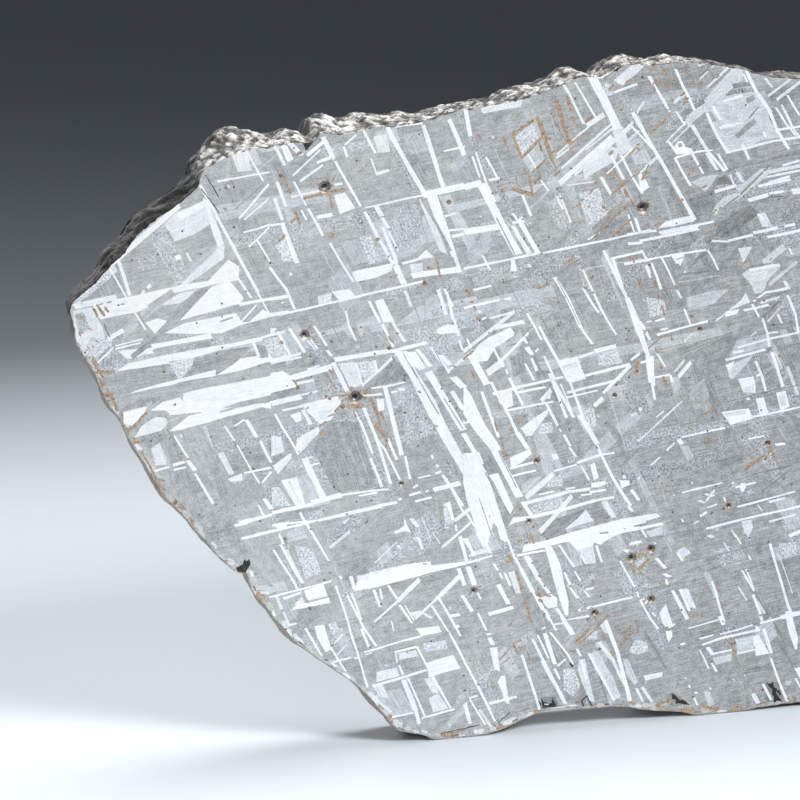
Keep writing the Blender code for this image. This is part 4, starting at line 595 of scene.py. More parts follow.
        (-25.4, 24.4, -24.9, 23.3, 0.3), (-25.4, 21, -23.9, 17.9, 0.35), (-21.9, 25.6, -20, 22.1, 0.75),
        (-21.7, 27.5, -21.2, 26.5, 0.3), (-20.8, 27.5, -19.8, 25.2, 0.4),
        (-23.5, 20.7, -19.2, 21.5, 0.65), (-23.7, 17.4, -23.2, 17.2, 0.45),
        (-23.3, 16.7, -22.7, 15.4, 0.65), (-23.3, 5.4, -18.5, 6.2, 0.5), (-17.7, 13.3, -15, 5.4, 0.45),
        (-15, 5.4, -14.5, 3.6, 0.4), (-19, 30, -17.9, 27.9, 0.5), (-17.9, 27.9, -15.8, 23.8, 0.7),
        (-15.8, 23.8, -14.2, 20.6, 0.4), (-17.1, 30, -14.8, 25.8, 0.85), (-14.8, 25.8, -13, 23.5, 0.5),
        (-15, 23, -13, 18.8, 0.35), (-15.8, 15.8, -13, 10, 0.5), (-15, 16.5, -13, 12.3, 0.35),
        (-13.8, 16.6, -13.2, 15.2, 0.35), (-38.1, 11.2, -34.2, 12.1, 0.4),
        (-35.8, 16.2, -33.3, 11.2, 0.4), (-33.3, 11.2, -30, 5.2, 0.4), (-38.1, 10.8, -36, 5.4, 0.85),
        (-36, 5.4, -35.4, 3, 0.6), (-37.3, 11, -34.4, 4.2, 0.4), (-40, 4.6, -36.3, 5, 0.35),
        (-35, 4, -29.4, 5, 0.4), (-26.8, 6.7, -25.3, 6.9, 0.3), (-26.7, 6.5, -24, 1.9, 0.3),
        (-35.6, 34.4, -34.9, 32.4, 0.45), (-33.2, 28.6, -26, 29.8, 0.3), (-28.5, 34.2, -27.3, 29.7, 0.6),
        (-27.5, 33.8, -26, 30.7, 0.5), (-29.3, 36.1, -29.1, 35, 0.35), (-30.5, 40, -29.6, 36.8, 0.55),
        (-30.9, 44, -28, 38.2, 0.35), (-27.3, 37.8, -26, 35.7, 0.3), (-22.6, 48, -18.3, 40, 1.2),
        (-17.8, 39.2, -16.1, 36.6, 0.6), (-20, 44.9, -15.7, 45.7, 0.4), (-19.7, 43.6, -15.5, 44.3, 0.35),
        (-15, 40.2, -12.3, 40.6, 0.3), (-17.4, 38.9, -9.9, 40.3, 0.55), (-9.9, 40.3, -6, 40.6, 0.5),
        (-10.3, 40.8, -8.7, 41, 0.25), (-12.4, 44, -8.5, 44.8, 0.3), (-8.4, 45.1, -4.5, 46.1, 0.45),
        (-4.5, 46.1, -1.8, 46.4, 0.35), (-9.7, 47.8, -8.6, 46.1, 0.4), (-7.6, 44.5, -6.2, 42, 0.35),
        (-4.9, 47.8, -2, 42, 0.5), (-2, 42, 1.2, 37.2, 0.5), (0.7, 37.3, 1.5, 36.2, 0.45),
        (-0.3, 42.2, 0.2, 42.2, 0.5), (1.2, 40, 2.6, 38, 0.5), (-6.1, 40, -3.2, 40.2, 0.35),
        (-7.6, 39.6, -5.7, 39.7, 0.3), (-16.8, 36.4, -9.7, 37.6, 0.55), (-9.7, 37.6, -5, 38.6, 0.55),
        (-5, 38.6, -1.8, 38.9, 0.4), (-3.4, 38.2, -1.8, 35.5, 0.35), (-18.6, 30.2, -13.8, 30.8, 0.35),
        (-28, 29.5, -23, 30.5, 0.35), (-28, 33.8, -26.2, 31.2, 0.4), (-20.3, 33, -19, 29.7, 0.4),
        (-13.6, 20.7, -11.7, 17, 0.35), (-11.3, 31.5, -8.7, 27.5, 0.4), (-8.6, 26.8, -7.5, 25, 0.25),
        (-4.9, 30.9, -3.8, 28, 0.4), (-7.6, 29.6, -6.4, 27.9, 0.4), (-10.4, 26.7, -9.3, 24.6, 0.35),
        (-9.6, 24.6, -8, 22.2, 0.35), (-6.8, 23.4, -5.9, 22.2, 0.3), (-6.5, 23.5, -5.2, 23.7, 0.35),
        (-6.3, 20.3, 1.8, 21.6, 0.35), (-6.3, 20.3, -5.5, 20.5, 0.5), (-7.9, 20, -7.4, 20.2, 0.4),
        (-0.5, 28, 2.1, 23.3, 0.3), (2.4, 22.6, 3, 21.4, 0.3), (0.2, 29.8, 1, 29.3, 0.5),
        (1.1, 30.7, 3.2, 31.1, 0.4), (3.2, 33, 4.1, 31.6, 0.35), (-9.8, 18.5, -5.8, 19, 0.4),
        (-12.2, 18, -10.4, 18.1, 0.3), (-11.7, 20.7, -8.5, 16, 0.5), (-9.3, 17.4, -8.6, 16, 0.6),
        (-14.2, 17.4, -13.6, 17.6, 0.3), (3.1, 20.9, 4.2, 21.2, 0.3), (9.5, 48, 10.3, 46.8, 0.7),
        (22, 47.2, 24.8, 47.6, 0.25), (27, 45.9, 28.6, 46.1, 0.4), (10.2, 38.8, 17.5, 40.1, 0.3),
        (11.9, 40.4, 12.2, 40.5, 0.3), (19.8, 39.1, 23.5, 39.7, 0.35), (19.1, 39.9, 19.6, 40, 0.25),
        (20.3, 35.7, 30.8, 37.7, 0.35), (26.1, 36.2, 29, 36.7, 0.45), (14.7, 32.3, 19, 33.2, 0.4),
        (19, 33.2, 32, 35.1, 0.35), (26.2, 32.8, 31, 33.7, 0.3), (30, 30.1, 32, 30.8, 0.6),
        (17.8, 37.6, 18.2, 36.6, 0.3), (14.4, 38.3, 15, 38.2, 0.3), (15.4, 37.9, 16.1, 38.1, 0.25),
        (10.3, 34.1, 10.7, 34, 0.4), (8.7, 38.6, 8.9, 38.6, 0.3), (0, 32.9, 7, 33.8, 0.5),
        (5.9, 28, 7.6, 26, 0.6), (7.3, 25.2, 8.4, 24.6, 0.5), (7.7, 24.2, 8, 23.3, 0.4),
        (9.6, 28.7, 10.6, 27.2, 0.35), (4, 20.2, 4.5, 20.7, 0.35), (3.3, 20.8, 5, 17.7, 0.35),
        (5, 17.7, 6.4, 15.8, 0.35), (8.9, 22.2, 11.7, 17, 0.7), (10.2, 22.2, 12.1, 18.4, 0.45),
        (16, 23.2, 18.4, 16, 0.4), (21.4, 24.8, 23.7, 21, 0.35), (22.2, 24.9, 23.8, 20.9, 0.3),
        (23.5, 20.4, 25, 16.8, 0.5), (26.4, 29, 27.7, 25, 0.45), (27.7, 25, 30, 18, 0.45),
        (30, 18, 30.9, 16, 0.5), (20, 31, 21.1, 29.2, 0.25), (22.5, 27.3, 23, 26.4, 0.3),
        (-13.7, 16.6, -11.9, 11.2, 0.7), (-14, 12, -9.9, 4.1, 0.7), (-11.9, 10.4, -10.9, 8.4, 0.4),
        (-12.7, 16.7, -9.6, 12.6, 0.3), (-9.6, 12.6, -8.6, 10.9, 0.3), (-10.9, 19.2, -9, 15.9, 0.4),
        (-3, 18, -0.8, 12.4, 0.7), (-0.8, 12.4, 1.6, 3.6, 0.7), (-4.2, 14.5, -2.4, 12, 0.3),
        (-1.7, 10.8, 0, 7.6, 0.25), (-5.9, 12.6, -3, 7.2, 0.5), (-3, 7.2, -1.2, 4, 0.45),
        (-7.2, 11.6, -6.3, 8, 0.35), (2.7, 5.8, 3.6, 4, 0.5), (10.5, 12.7, 11.4, 12.9, 0.3),
        (11.9, 15.4, 17.3, 16.4, 0.25), (13.9, 13.4, 16.5, 13.8, 0.35), (14.4, 12.3, 18, 13.2, 0.4),
        (14, 11.5, 15.8, 8, 0.25), (16.2, 9, 17.2, 7.5, 0.35), (15.4, 11.8, 16.4, 10.4, 0.7),
        (11.4, 6.9, 11.6, 6.6, 0.35), (12.2, 5.6, 12.4, 5, 0.3), (13.2, 3.2, 13.9, 1.8, 0.4),
        (13.2, 4.1, 13.9, 4, 0.35), (15.9, 4.6, 16.3, 4.5, 0.25), (1.7, 12.1, 2.1, 12.5, 0.3),
        (3.9, 12.6, 4.4, 12.9, 0.3), (-8, 13.5, -7.3, 12.2, 0.4), (17.5, 17, 18.3, 15.5, 0.6),
        (17.7, 13.9, 23.6, 15, 0.3), (18, 13.2, 25, 14.2, 0.4), (25, 16.4, 25.4, 15.4, 0.5),
        (25, 15.2, 29.8, 16.1, 0.35), (25.6, 14.3, 27.2, 9.8, 0.6), (27.1, 8.9, 28.2, 6, 0.5),
        (28.2, 6, 30.3, 1, 0.5), (20.9, 10.2, 24.5, 10.8, 0.3), (16.4, 10.6, 19.8, 11, 0.3),
        (23.9, 3, 25, 1.1, 0.7), (25.8, 4.5, 27.4, 1.5, 0.5),
    ),
    "seam": (
        (-22.6, 86, -19.4, 80, 0.2), (16.7, 104.6, 19.2, 105, 0.25), (20.8, 100.7, 22.5, 102.6, 0.25),
        (10.2, 91.1, 13.5, 91.9, 0.25), (19.8, 86.6, 23.5, 87, 0.25), (23.5, 87, 24.8, 87.7, 0.25),
        (24.8, 87.7, 27.3, 87.7, 0.25), (28.3, 86.4, 30, 82.2, 0.25), (1.2, 101.8, 6.9, 102.6, 0.2),
        (3.5, 91.4, 5, 91.5, 0.25), (-51.2, 52.8, -46.8, 43.4, 0.25), (-31.3, 57.1, -28, 51.9, 0.16),
        (-33.1, 65.4, -30.8, 61.3, 0.14), (-36.8, 62.6, -32.2, 54.6, 0.14),
        (-38.2, 64.8, -35.8, 60.6, 0.12), (-13, 70.5, -10.4, 65.4, 0.2), (-9.4, 73, -6.6, 67.6, 0.25),
        (-14.5, 72.6, -11.5, 72.8, 0.2), (-28, 64, -22.8, 67.6, 0.25), (-12.2, 75.8, -8.2, 68, 0.12),
        (3, 72.5, 14, 74.3, 0.25), (20.4, 75.6, 22, 76.3, 0.25), (22, 76.3, 25, 76.6, 0.25),
        (22.5, 70.8, 25.2, 71, 0.25), (25.2, 71, 28.8, 71.9, 0.25), (8.6, 59, 10.3, 60.6, 0.2),
        (17.9, 53.8, 26, 55.2, 0.2), (26, 55.2, 33, 56.2, 0.2), (26.7, 62.1, 31, 63, 0.25),
        (25, 66.3, 29.2, 66.5, 0.2), (-53.8, 20.8, -51.4, 16.3, 0.18), (-34.8, 30, -34.2, 29.9, 0.25),
        (-25.3, 40.3, -23, 33.8, 0.18), (-24.3, 44.5, -20.1, 37.2, 0.2), (-22, 48, -18.8, 41.5, 0.15),
        (-4.2, 32.9, -2.7, 33, 0.25), (-10.9, 31.6, -9.9, 31.8, 0.2), (1.8, 33.7, 4, 34, 0.25),
        (9.8, 46.9, 13.4, 47.2, 0.2), (19.4, 47.6, 21.5, 43.7, 0.25), (20, 40.4, 22.7, 40.9, 0.25),
        (25.2, 38.9, 28.1, 41.1, 0.25), (23.1, 40.6, 25, 37.9, 0.25), (4.2, 31, 9, 32, 0.2),
        (9, 32, 14.2, 32.5, 0.2), (16.8, 27.7, 25, 29.2, 0.25), (10, 26.7, 16.8, 27.7, 0.2),
        (6.8, 25.9, 10, 26.3, 0.2), (3.4, 22.6, 10.4, 23.4, 0.2), (9, 23.2, 13.3, 23.8, 0.2),
        (11, 13.8, 18, 15, 0.2),
    ),
    "crack": (
        (-70.8, 92.4, -68, 88.5, 0.15), (-70.1, 94.5, -68, 91, 0.15), (-86.5, 71.9, -85.6, 69.9, 0.12),
        (-19.6, 90.7, -17.6, 90, 0.25), (-31.7, 1, -25, 1.9, 0.14), (-21.7, 1.9, -19.8, 3.5, 0.16),
        (-14.6, 5, -14.2, 4.2, 0.2), (-14.2, 3.8, -13.4, 3.9, 0.16), (-6.2, 5.3, -5.2, 3.5, 0.22),
        (-6.3, 5.2, -7, 4.4, 0.16), (-7, 4.4, -6.7, 3.5, 0.3), (-8.6, 3.4, -8, 3.4, 0.3),
        (-9.2, 11.1, -8.7, 10.5, 0.4), (28.5, 3, 29, 2.4, 0.5),
    ),
    "rust": (
        (-87.5, 75, -86.4, 73.3, 0.5), (-86.2, 74.5, -85.8, 73.9, 0.4), (-76.4, 85.7, -76, 85.9, 0.3),
        (-88, 74.4, -87.5, 73.3, 0.3), (-87.4, 74.9, -86.6, 75.2, 0.22), (-90.1, 73.4, -89.7, 72.8, 0.22),
        (-88.9, 71.4, -88.4, 71.1, 0.22), (-90.4, 70.9, -90.1, 70.3, 0.25),
        (-87.9, 69.4, -87.3, 69.2, 0.2), (-89.2, 68.6, -88.8, 68.2, 0.22),
        (-85.9, 75.2, -85.2, 75.4, 0.22), (-83.8, 74.9, -83.3, 74.9, 0.22),
        (-82.8, 54.8, -80.1, 57.5, 0.5), (-88.2, 64.4, -85, 64.4, 0.5), (-87.2, 62.5, -86.2, 62.6, 0.5),
        (-87, 60.6, -85.2, 61, 0.5), (-86, 60, -85, 60.1, 0.4), (-80.8, 51.3, -77.4, 44.4, 0.4),
        (-82, 52.9, -80.7, 53.1, 0.4), (-78.7, 46.9, -77.4, 46.6, 0.35), (-76.3, 53.4, -75.9, 53.6, 0.5),
        (-69.3, 42.1, -68.9, 42.3, 0.35), (-88.3, 66.8, -86.8, 63.6, 0.5),
        (-86.2, 61.8, -84.6, 58.2, 0.45), (-84.4, 57, -83.2, 55, 0.4), (-55.4, 97.2, -54.8, 97.4, 0.6),
        (-54.4, 90.3, -47.9, 91.6, 0.5), (-50.2, 90.8, -49.8, 88.5, 0.4),
        (-49.8, 92.8, -49.3, 93.7, 0.35), (-57.7, 93.9, -56.6, 91.2, 0.4),
        (-55.8, 88.3, -55.1, 86.3, 0.35), (-56.5, 86.6, -55.8, 87.2, 0.3),
        (-50.3, 84.2, -49.7, 84.4, 0.6), (-58.5, 83.7, -57.5, 84.6, 0.35), (-32.7, 80.1, -32, 77, 0.35),
        (-40.5, 77.2, -39.1, 77.5, 0.3), (-42.7, 83.2, -42.2, 83.4, 0.6),
        (-12.7, 104.5, -10.3, 97.6, 0.75), (-10.9, 105.1, -10.1, 102.9, 0.55),
        (-9.9, 101.9, -9.1, 100.1, 0.55), (-15.7, 101.8, -13.4, 95.3, 0.75),
        (-13.4, 95.3, -12.5, 93.5, 0.35), (-19.9, 99.3, -16.5, 101.4, 0.5), (-19.8, 98.7, -18.6, 96, 0.5),
        (-18.4, 95.5, -15.1, 98.5, 0.5), (-21.5, 98.8, -21.1, 97.6, 0.5), (-20.8, 97.4, -20.7, 95.8, 0.3),
        (-15.5, 98, -15, 96.4, 0.3), (-14.5, 98.3, -13.5, 98.5, 0.3), (-13.7, 102.8, -12, 99.5, 0.18),
        (-16.7, 93, -14.6, 94.9, 0.35), (-18.1, 94.1, -17.6, 92.8, 0.3), (-19.4, 92.5, -18.9, 91, 0.3),
        (-17.1, 92.4, -16.5, 89.3, 0.5), (-16.2, 91.4, -15.1, 92.4, 0.35),
        (-13.4, 96.1, -11.8, 96.9, 0.3), (-10.2, 96.6, -9.5, 95.9, 0.35), (-11.2, 97.5, -10.3, 97.8, 0.4),
        (-9.9, 97.7, -7.7, 99.2, 0.3), (-10.1, 96.7, -8.8, 97.4, 0.3), (-7.5, 101, -6.4, 101.8, 0.35),
        (-3.7, 106, -3, 106.6, 0.4), (-0.7, 107.1, 0, 107.5, 0.4), (-12.9, 92.4, -12, 93.1, 0.3),
        (-22.1, 89.9, -21, 90.8, 0.3), (-25.7, 99.5, -25.4, 98.7, 0.3), (-22.8, 102.5, -22.6, 102, 0.3),
        (-3, 89, 0.8, 92, 0.3), (1.2, 92, 1.8, 92.6, 0.3), (-2.7, 93.2, -1.1, 90.5, 0.3),
        (-0.7, 89.9, -0.3, 88.5, 0.4), (-0.3, 89.3, 0.9, 87.1, 0.25), (-4, 91.8, -3.1, 92.6, 0.35),
        (-6.7, 89.4, -6.1, 90.1, 0.4), (-5.9, 91, -5.5, 91.2, 0.5), (-9.6, 87, -8.5, 87.7, 0.3),
        (-8.2, 88.3, -7.9, 88.5, 0.35), (-6.9, 87.2, -6.6, 87.3, 0.35), (-4.5, 87.3, -3.9, 86.6, 0.45),
        (-4.1, 85.3, -2.3, 86.9, 0.35), (-1.7, 87.3, -0.9, 88, 0.35), (-2.6, 85.4, -1.5, 86, 0.4),
        (-0.8, 86.7, -0.2, 87.2, 0.5), (-4.8, 83.4, -3.8, 83.9, 0.45), (-3.5, 84.5, -2.7, 85.2, 0.3),
        (-5.9, 82.3, -5.1, 83, 0.3), (-2.6, 82.3, -0.8, 83.9, 0.35), (-0.7, 84.1, 0.5, 85, 0.35),
        (-0.9, 82.6, 0, 83.5, 0.3), (0, 95.5, 1.2, 96.5, 0.35), (1.2, 96.5, 1.8, 96.1, 0.3),
        (-3.4, 95.6, -2.9, 96, 0.5), (1.3, 96.9, 1.7, 97.1, 0.35), (-1.8, 102.6, -1.4, 102.8, 0.35),
        (-9.4, 84.7, -7.8, 84.9, 0.25), (-9.3, 82.8, -9, 82.4, 0.35), (2.4, 91.4, 2.8, 91.6, 0.4),
        (-19.8, 90.6, -17, 89.6, 0.6), (2.2, 91.2, 3.4, 93.6, 0.35), (3.5, 108.8, 4.4, 109.6, 0.35),
        (4.1, 109.3, 4.7, 108.4, 0.2), (5.6, 108.3, 6.7, 109.1, 0.35), (5.8, 108.9, 7.3, 106.4, 0.25),
        (3.8, 106.6, 4.9, 107.5, 0.35), (4.9, 107.5, 6.1, 106, 0.3), (3.9, 106.4, 4.4, 105.5, 0.25),
        (5.2, 109.5, 6.2, 108.2, 0.2), (7.5, 106.9, 8.2, 107.5, 0.3), (6.3, 105.6, 6.8, 105.8, 0.35),
        (7, 104.3, 7.4, 103.8, 0.3), (8.8, 104.7, 9.4, 105.1, 0.35), (9.2, 103.6, 10, 104.2, 0.4),
        (3.8, 98.9, 6.2, 100.9, 0.4), (4, 99.9, 5.1, 99.8, 0.25), (7.3, 110.3, 8.3, 110.1, 0.4),
        (9.5, 108.9, 10, 108, 0.3), (13.5, 108.7, 13.9, 108.9, 0.35), (11.5, 106, 12.5, 106.7, 0.35),
        (10.6, 106.4, 11, 106.7, 0.3), (12.7, 106.3, 13.1, 106.5, 0.3), (15, 107.6, 15.3, 107.9, 0.35),
        (8.3, 87, 9.4, 87.8, 0.35), (9.7, 88.8, 11.3, 89.6, 0.3), (12.8, 89.6, 13.5, 89.9, 0.45),
        (11.8, 88.4, 12.2, 88.6, 0.35), (14.9, 85.4, 15.4, 86, 0.35), (15.8, 86.1, 16.2, 86.3, 0.3),
        (14.9, 86.7, 15.1, 86.9, 0.3), (15.2, 83.3, 15.6, 83.5, 0.35), (5.1, 85, 5.6, 85.2, 0.3),
        (4.8, 83.8, 5.4, 84.2, 0.3), (9.4, 85.3, 10, 85.2, 0.25), (3.3, 83.7, 3.6, 83.9, 0.3),
        (7.2, 81.3, 7.6, 81.5, 0.3), (12.2, 80.5, 12.7, 80.9, 0.3), (13.5, 81.9, 13.9, 82.1, 0.3),
        (10.2, 91.7, 10.6, 91.9, 0.35), (11, 92.3, 11.4, 92.5, 0.35), (10, 93.2, 10.3, 93.4, 0.3),
        (11.9, 93, 12.3, 93.3, 0.35), (10.7, 94.3, 11, 94.5, 0.3), (2.5, 91.5, 2.9, 91.7, 0.35),
        (27.2, 87.2, 27.6, 87.4, 0.3), (21.3, 89, 21.6, 89.3, 0.3), (21, 83.5, 21.9, 84.3, 0.2),
        (9.2, 90.8, 9.8, 90.9, 0.3), (-48.8, 58.5, -47, 58.7, 0.35), (-48.3, 57.6, -47.6, 58, 0.5),
        (-49.6, 56, -48.7, 56.9, 0.3), (-50.6, 55.3, -49.8, 55.6, 0.3), (-47.3, 56.6, -45, 56.7, 0.7),
        (-46.4, 55.8, -46, 55, 0.35), (-43.6, 57.8, -42, 53.9, 0.5), (-42.6, 53.6, -41.6, 52, 0.75),
        (-41.8, 52, -40.8, 50.6, 0.5), (-41.1, 50.2, -40.7, 49.6, 0.3), (-41.9, 55.4, -41.2, 54, 0.35),
        (-40.6, 49, -40.2, 48.2, 0.2), (-52.1, 54, -51, 54.5, 0.35), (-51.9, 52.7, -51.4, 52.6, 0.45),
        (-50.8, 62.3, -50.2, 61, 0.3), (-50.4, 62.8, -49.8, 61.9, 0.3), (-50.2, 61, -49.5, 59.7, 0.25),
        (-56.3, 61.5, -55.8, 60.8, 0.35), (-53.7, 59.1, -53.3, 59.3, 0.3), (-54.2, 56.8, -53.9, 57, 0.3),
        (-40.5, 67.7, -39.8, 66.7, 0.45), (-46, 65.6, -45.4, 65.7, 0.2), (-58.4, 67.7, -58, 67.5, 0.4),
        (-46.6, 69.3, -46.2, 69.1, 0.3), (-39.4, 68.3, -39, 68.1, 0.35), (-33.4, 67.2, -33.1, 67.4, 0.25),
        (-32.3, 67.1, -31.9, 67.3, 0.3), (-39.7, 55, -39.3, 55.1, 0.25), (-32.9, 52.8, -32.5, 52.6, 0.25),
        (-35.6, 58.5, -35.2, 58.3, 0.3), (-29.8, 62.4, -29.4, 62.2, 0.3), (-31.9, 59.9, -31.7, 59.6, 0.3),
        (-31, 40.3, -30.6, 40.1, 0.3), (-27.5, 75, -27.1, 73.8, 0.4), (-26.8, 72.7, -26.4, 72.5, 0.35),
        (-26.3, 71.8, -26, 71.2, 0.35), (-25.9, 69.8, -25.5, 69.9, 0.35), (-28, 63.4, -26.4, 64.6, 0.3),
        (-26.5, 61.2, -26.2, 60.3, 0.5), (-15.5, 74.3, -13.4, 75, 0.35), (-10.9, 78.2, -9.7, 78.8, 0.45),
        (-10.1, 77.9, -8, 78.2, 0.22), (-9.8, 79, -9.3, 79.4, 0.3), (-6.4, 75.4, -5.8, 76, 0.35),
        (-6.7, 76.3, -6.4, 76.1, 0.3), (-8.8, 74.8, -8.4, 74.9, 0.25), (-7.5, 74.1, -7.3, 73.8, 0.3),
        (-6.1, 73.3, -5.9, 73.1, 0.3), (-12.1, 71.8, -11.7, 72, 0.4), (0.7, 79, 1.1, 77.8, 0.4),
        (1.8, 75, 2.5, 73.3, 0.35), (1.1, 76.7, 1.4, 76.4, 0.35), (0, 72.6, 0.2, 72.3, 0.25),
        (3.7, 66.6, 4, 66.2, 0.35), (2, 61.3, 1.6, 59.2, 0.6), (-18.8, 52.2, -18.2, 52.5, 0.3),
        (-18, 53.2, -17, 53.6, 0.35), (-22.7, 53, -22.2, 51.2, 0.3), (-21.9, 50, -21, 50.1, 0.35),
        (-21.5, 49.2, -21.1, 48.2, 0.35), (-20, 51.4, -19.8, 51.1, 0.3), (-0.8, 50.2, -0.5, 50, 0.25),
        (4.6, 74.7, 5.1, 73.5, 0.4), (5.3, 72.5, 5.6, 71.6, 0.35), (6.1, 70.5, 6.6, 68.9, 0.35),
        (3.5, 77.8, 3.7, 77.6, 0.3), (5, 63.4, 5.5, 62.7, 0.4), (4.6, 65, 4.8, 64.4, 0.3),
        (7.8, 65.7, 8, 64.6, 0.3), (8.4, 73.6, 8.6, 73.4, 0.3), (10.3, 69.8, 10.5, 69.6, 0.3),
        (12.6, 66.6, 13.2, 66.1, 0.4), (6.6, 58.5, 7.2, 57, 0.55), (6, 60.7, 6.3, 60, 0.3),
        (13.7, 51.4, 15.6, 53, 0.35), (11.3, 49.8, 11.8, 49.5, 0.3), (17.6, 50.3, 17.8, 50.1, 0.3),
        (20.1, 76.7, 21.4, 77.4, 0.3), (24.7, 73.4, 25.1, 73.6, 0.35), (25.1, 77.2, 25.4, 77.4, 0.3),
        (19.6, 71.9, 19.8, 71.5, 0.35), (17.9, 72.8, 19.4, 73, 0.18), (21.2, 73.4, 21.5, 73.2, 0.3),
        (24.2, 70.6, 24.4, 70.4, 0.3), (26.3, 68.7, 26.5, 68.9, 0.25), (27, 62.5, 27.4, 62.3, 0.3),
        (27.2, 61.2, 27.4, 60.8, 0.35), (26.1, 54.8, 26.4, 54.6, 0.3), (12.7, 78.6, 13, 78.8, 0.25),
        (12.2, 55.2, 12.5, 54, 0.18), (12.6, 53.9, 13.6, 54.2, 0.18), (10.4, 55.3, 11.2, 55, 0.18),
        (-44.5, 37.3, -44.1, 37.9, 0.35), (-67.7, 32.8, -67.3, 32.9, 0.45),
        (-68.9, 36.6, -68.7, 36.4, 0.3), (-50.7, 29.8, -50.3, 29.8, 0.35),
        (-41.3, 19.3, -41.1, 19.1, 0.3), (-18.8, 27.7, -17.9, 25, 0.35), (-17.9, 24.8, -17.7, 24.2, 0.45),
        (-17.4, 22.9, -16.1, 18.8, 0.5), (-20.5, 29.4, -20.2, 29.2, 0.35),
        (-26.7, 24.7, -26.4, 25.4, 0.25), (-25.4, 25.2, -24.9, 25.6, 0.3),
        (-14.9, 24.4, -14.7, 23.1, 0.45), (-14.7, 22.5, -14.2, 22.1, 0.5),
        (-14.8, 26.4, -14.4, 26.2, 0.35), (-13.9, 24.9, -13.8, 24.6, 0.3), (-19.4, 19.2, -19, 19.3, 0.35),
        (-20, 18.4, -19.6, 18.6, 0.4), (-27.9, 17.1, -27.5, 16.9, 0.35), (-26.9, 13.5, -26.6, 13, 0.35),
        (-26.4, 12.1, -26.1, 11.8, 0.35), (-25.4, 9, -25.2, 8.8, 0.3), (-21.5, 12.9, -19.6, 14.6, 0.28),
        (-19.3, 15.4, -18.4, 13.5, 0.35), (-19.2, 15.4, -17.7, 15.8, 0.28),
        (-18.8, 14.4, -17.1, 14.8, 0.3), (-16.7, 13.8, -16.3, 12.1, 0.3), (-19.4, 11.9, -19, 12, 0.35),
        (-21.2, 12, -19.8, 12.9, 0.2), (-22.8, 8.1, -22.4, 8.2, 0.35), (-30.8, 18.2, -30.4, 18, 0.35),
        (-36.2, 20.8, -36, 20.4, 0.3), (-22.6, 1.9, -22.2, 1.5, 0.45), (-30.2, 0.8, -27.4, 1.3, 0.35),
        (-21.2, 47.7, -20.4, 47, 0.5), (-18.2, 38, -17.8, 37.7, 0.5), (-18.4, 32.6, -17.8, 32.8, 0.35),
        (-16.3, 33.4, -15.8, 32.2, 0.4), (-20, 30.3, -19.7, 29.6, 0.5), (-19.7, 29.5, -19.2, 28.8, 0.3),
        (-13.9, 23.3, -12.7, 22.9, 0.35), (-4.2, 19.1, -3.8, 19, 0.4), (-5, 18.8, -4.8, 18.3, 0.4),
        (-0.8, 28.4, -0.4, 28.2, 0.4), (-4.2, 34.9, -3.6, 34.9, 0.35), (-9.5, 24.4, -9.2, 24.2, 0.25),
        (-1.4, 18.6, -0.6, 18.6, 0.25), (-2.8, 18.7, -2, 18.5, 0.4), (1, 16.8, 1.4, 16.2, 0.4),
        (-9.8, 18.4, -8, 18.5, 0.18), (-5.1, 47.6, -4.9, 47.3, 0.4), (-15.9, 45.9, -15.6, 45.2, 0.3),
        (14, 47.4, 14.5, 47.1, 0.5), (14.6, 47.8, 15, 47.4, 0.4), (25.8, 45.8, 26.1, 45, 0.5),
        (21.6, 42.2, 24.6, 44, 0.6), (25.4, 43.9, 25.9, 44.9, 0.3), (26.2, 45, 27.4, 42.6, 0.35),
        (18.8, 35.3, 18.7, 34.6, 0.35), (30.2, 36.4, 30.5, 36.9, 0.2), (7.5, 39.4, 8, 38.9, 0.3),
        (7.5, 40.4, 7.8, 40.2, 0.3), (6.6, 43, 7.1, 42.2, 0.2), (12, 45.5, 12.3, 45.5, 0.3),
        (2.4, 28.8, 4, 28.6, 0.6), (1.3, 27.2, 1.9, 26, 0.5), (2.8, 26.2, 4.6, 27.9, 0.6),
        (3, 25.7, 3.5, 25.3, 0.5), (7.1, 27.6, 7.2, 27, 0.3), (6.5, 23.6, 7.4, 23.4, 0.35),
        (12.5, 17.3, 13.3, 18, 0.5), (17, 22, 17.6, 20.6, 0.35), (17.9, 19.2, 18.1, 18.4, 0.35),
        (-8, 14.8, -6, 16.6, 0.45), (-7.6, 14.3, -5, 16.4, 0.3), (-5, 16.4, -3.3, 18.1, 0.4),
        (-9, 13.3, -8.4, 13.1, 0.45), (-7.8, 13.9, -4, 14.5, 0.15), (-1.8, 12.6, -1.5, 12, 0.45),
        (-3.6, 15.6, -3.2, 15, 0.4), (-7.8, 5.1, -6.4, 6.1, 0.3), (-7.6, 8.6, -7.4, 8, 0.3),
        (16.5, 15, 16.7, 14.8, 0.35), (17.3, 14.7, 17.5, 14.4, 0.35), (8.4, 2.7, 9.3, 2.5, 0.3),
        (9, 3.2, 9.3, 2.8, 0.25), (7, 2.8, 8.6, 3, 0.5), (6.2, 2.5, 7.8, 2.1, 0.4),
        (14.9, 1.6, 16.2, 1, 0.6), (16.2, 1, 17.8, 0.7, 0.6), (-0.3, 15.1, 1.6, 16.6, 0.4),
        (-0.6, 13.2, 1, 14.7, 0.45), (0.7, 14.8, 2.6, 16.1, 0.35), (2.8, 15.7, 3, 15.4, 0.3),
        (2.2, 17.6, 2.6, 17.4, 0.4), (-1.6, 16.7, 0.7, 17, 0.15), (-6.6, 17.6, -6.4, 17.4, 0.3),
        (-5.5, 25, -5.2, 24.4, 0.4), (19.6, 13, 19.9, 11.9, 0.7), (20, 11.4, 20.4, 10.4, 0.5),
        (20.2, 0.6, 21.9, 1, 0.3), (31.5, 1.6, 32, 1.2, 0.5), (30.4, 1.6, 30.7, 1, 0.3),
    ),
}
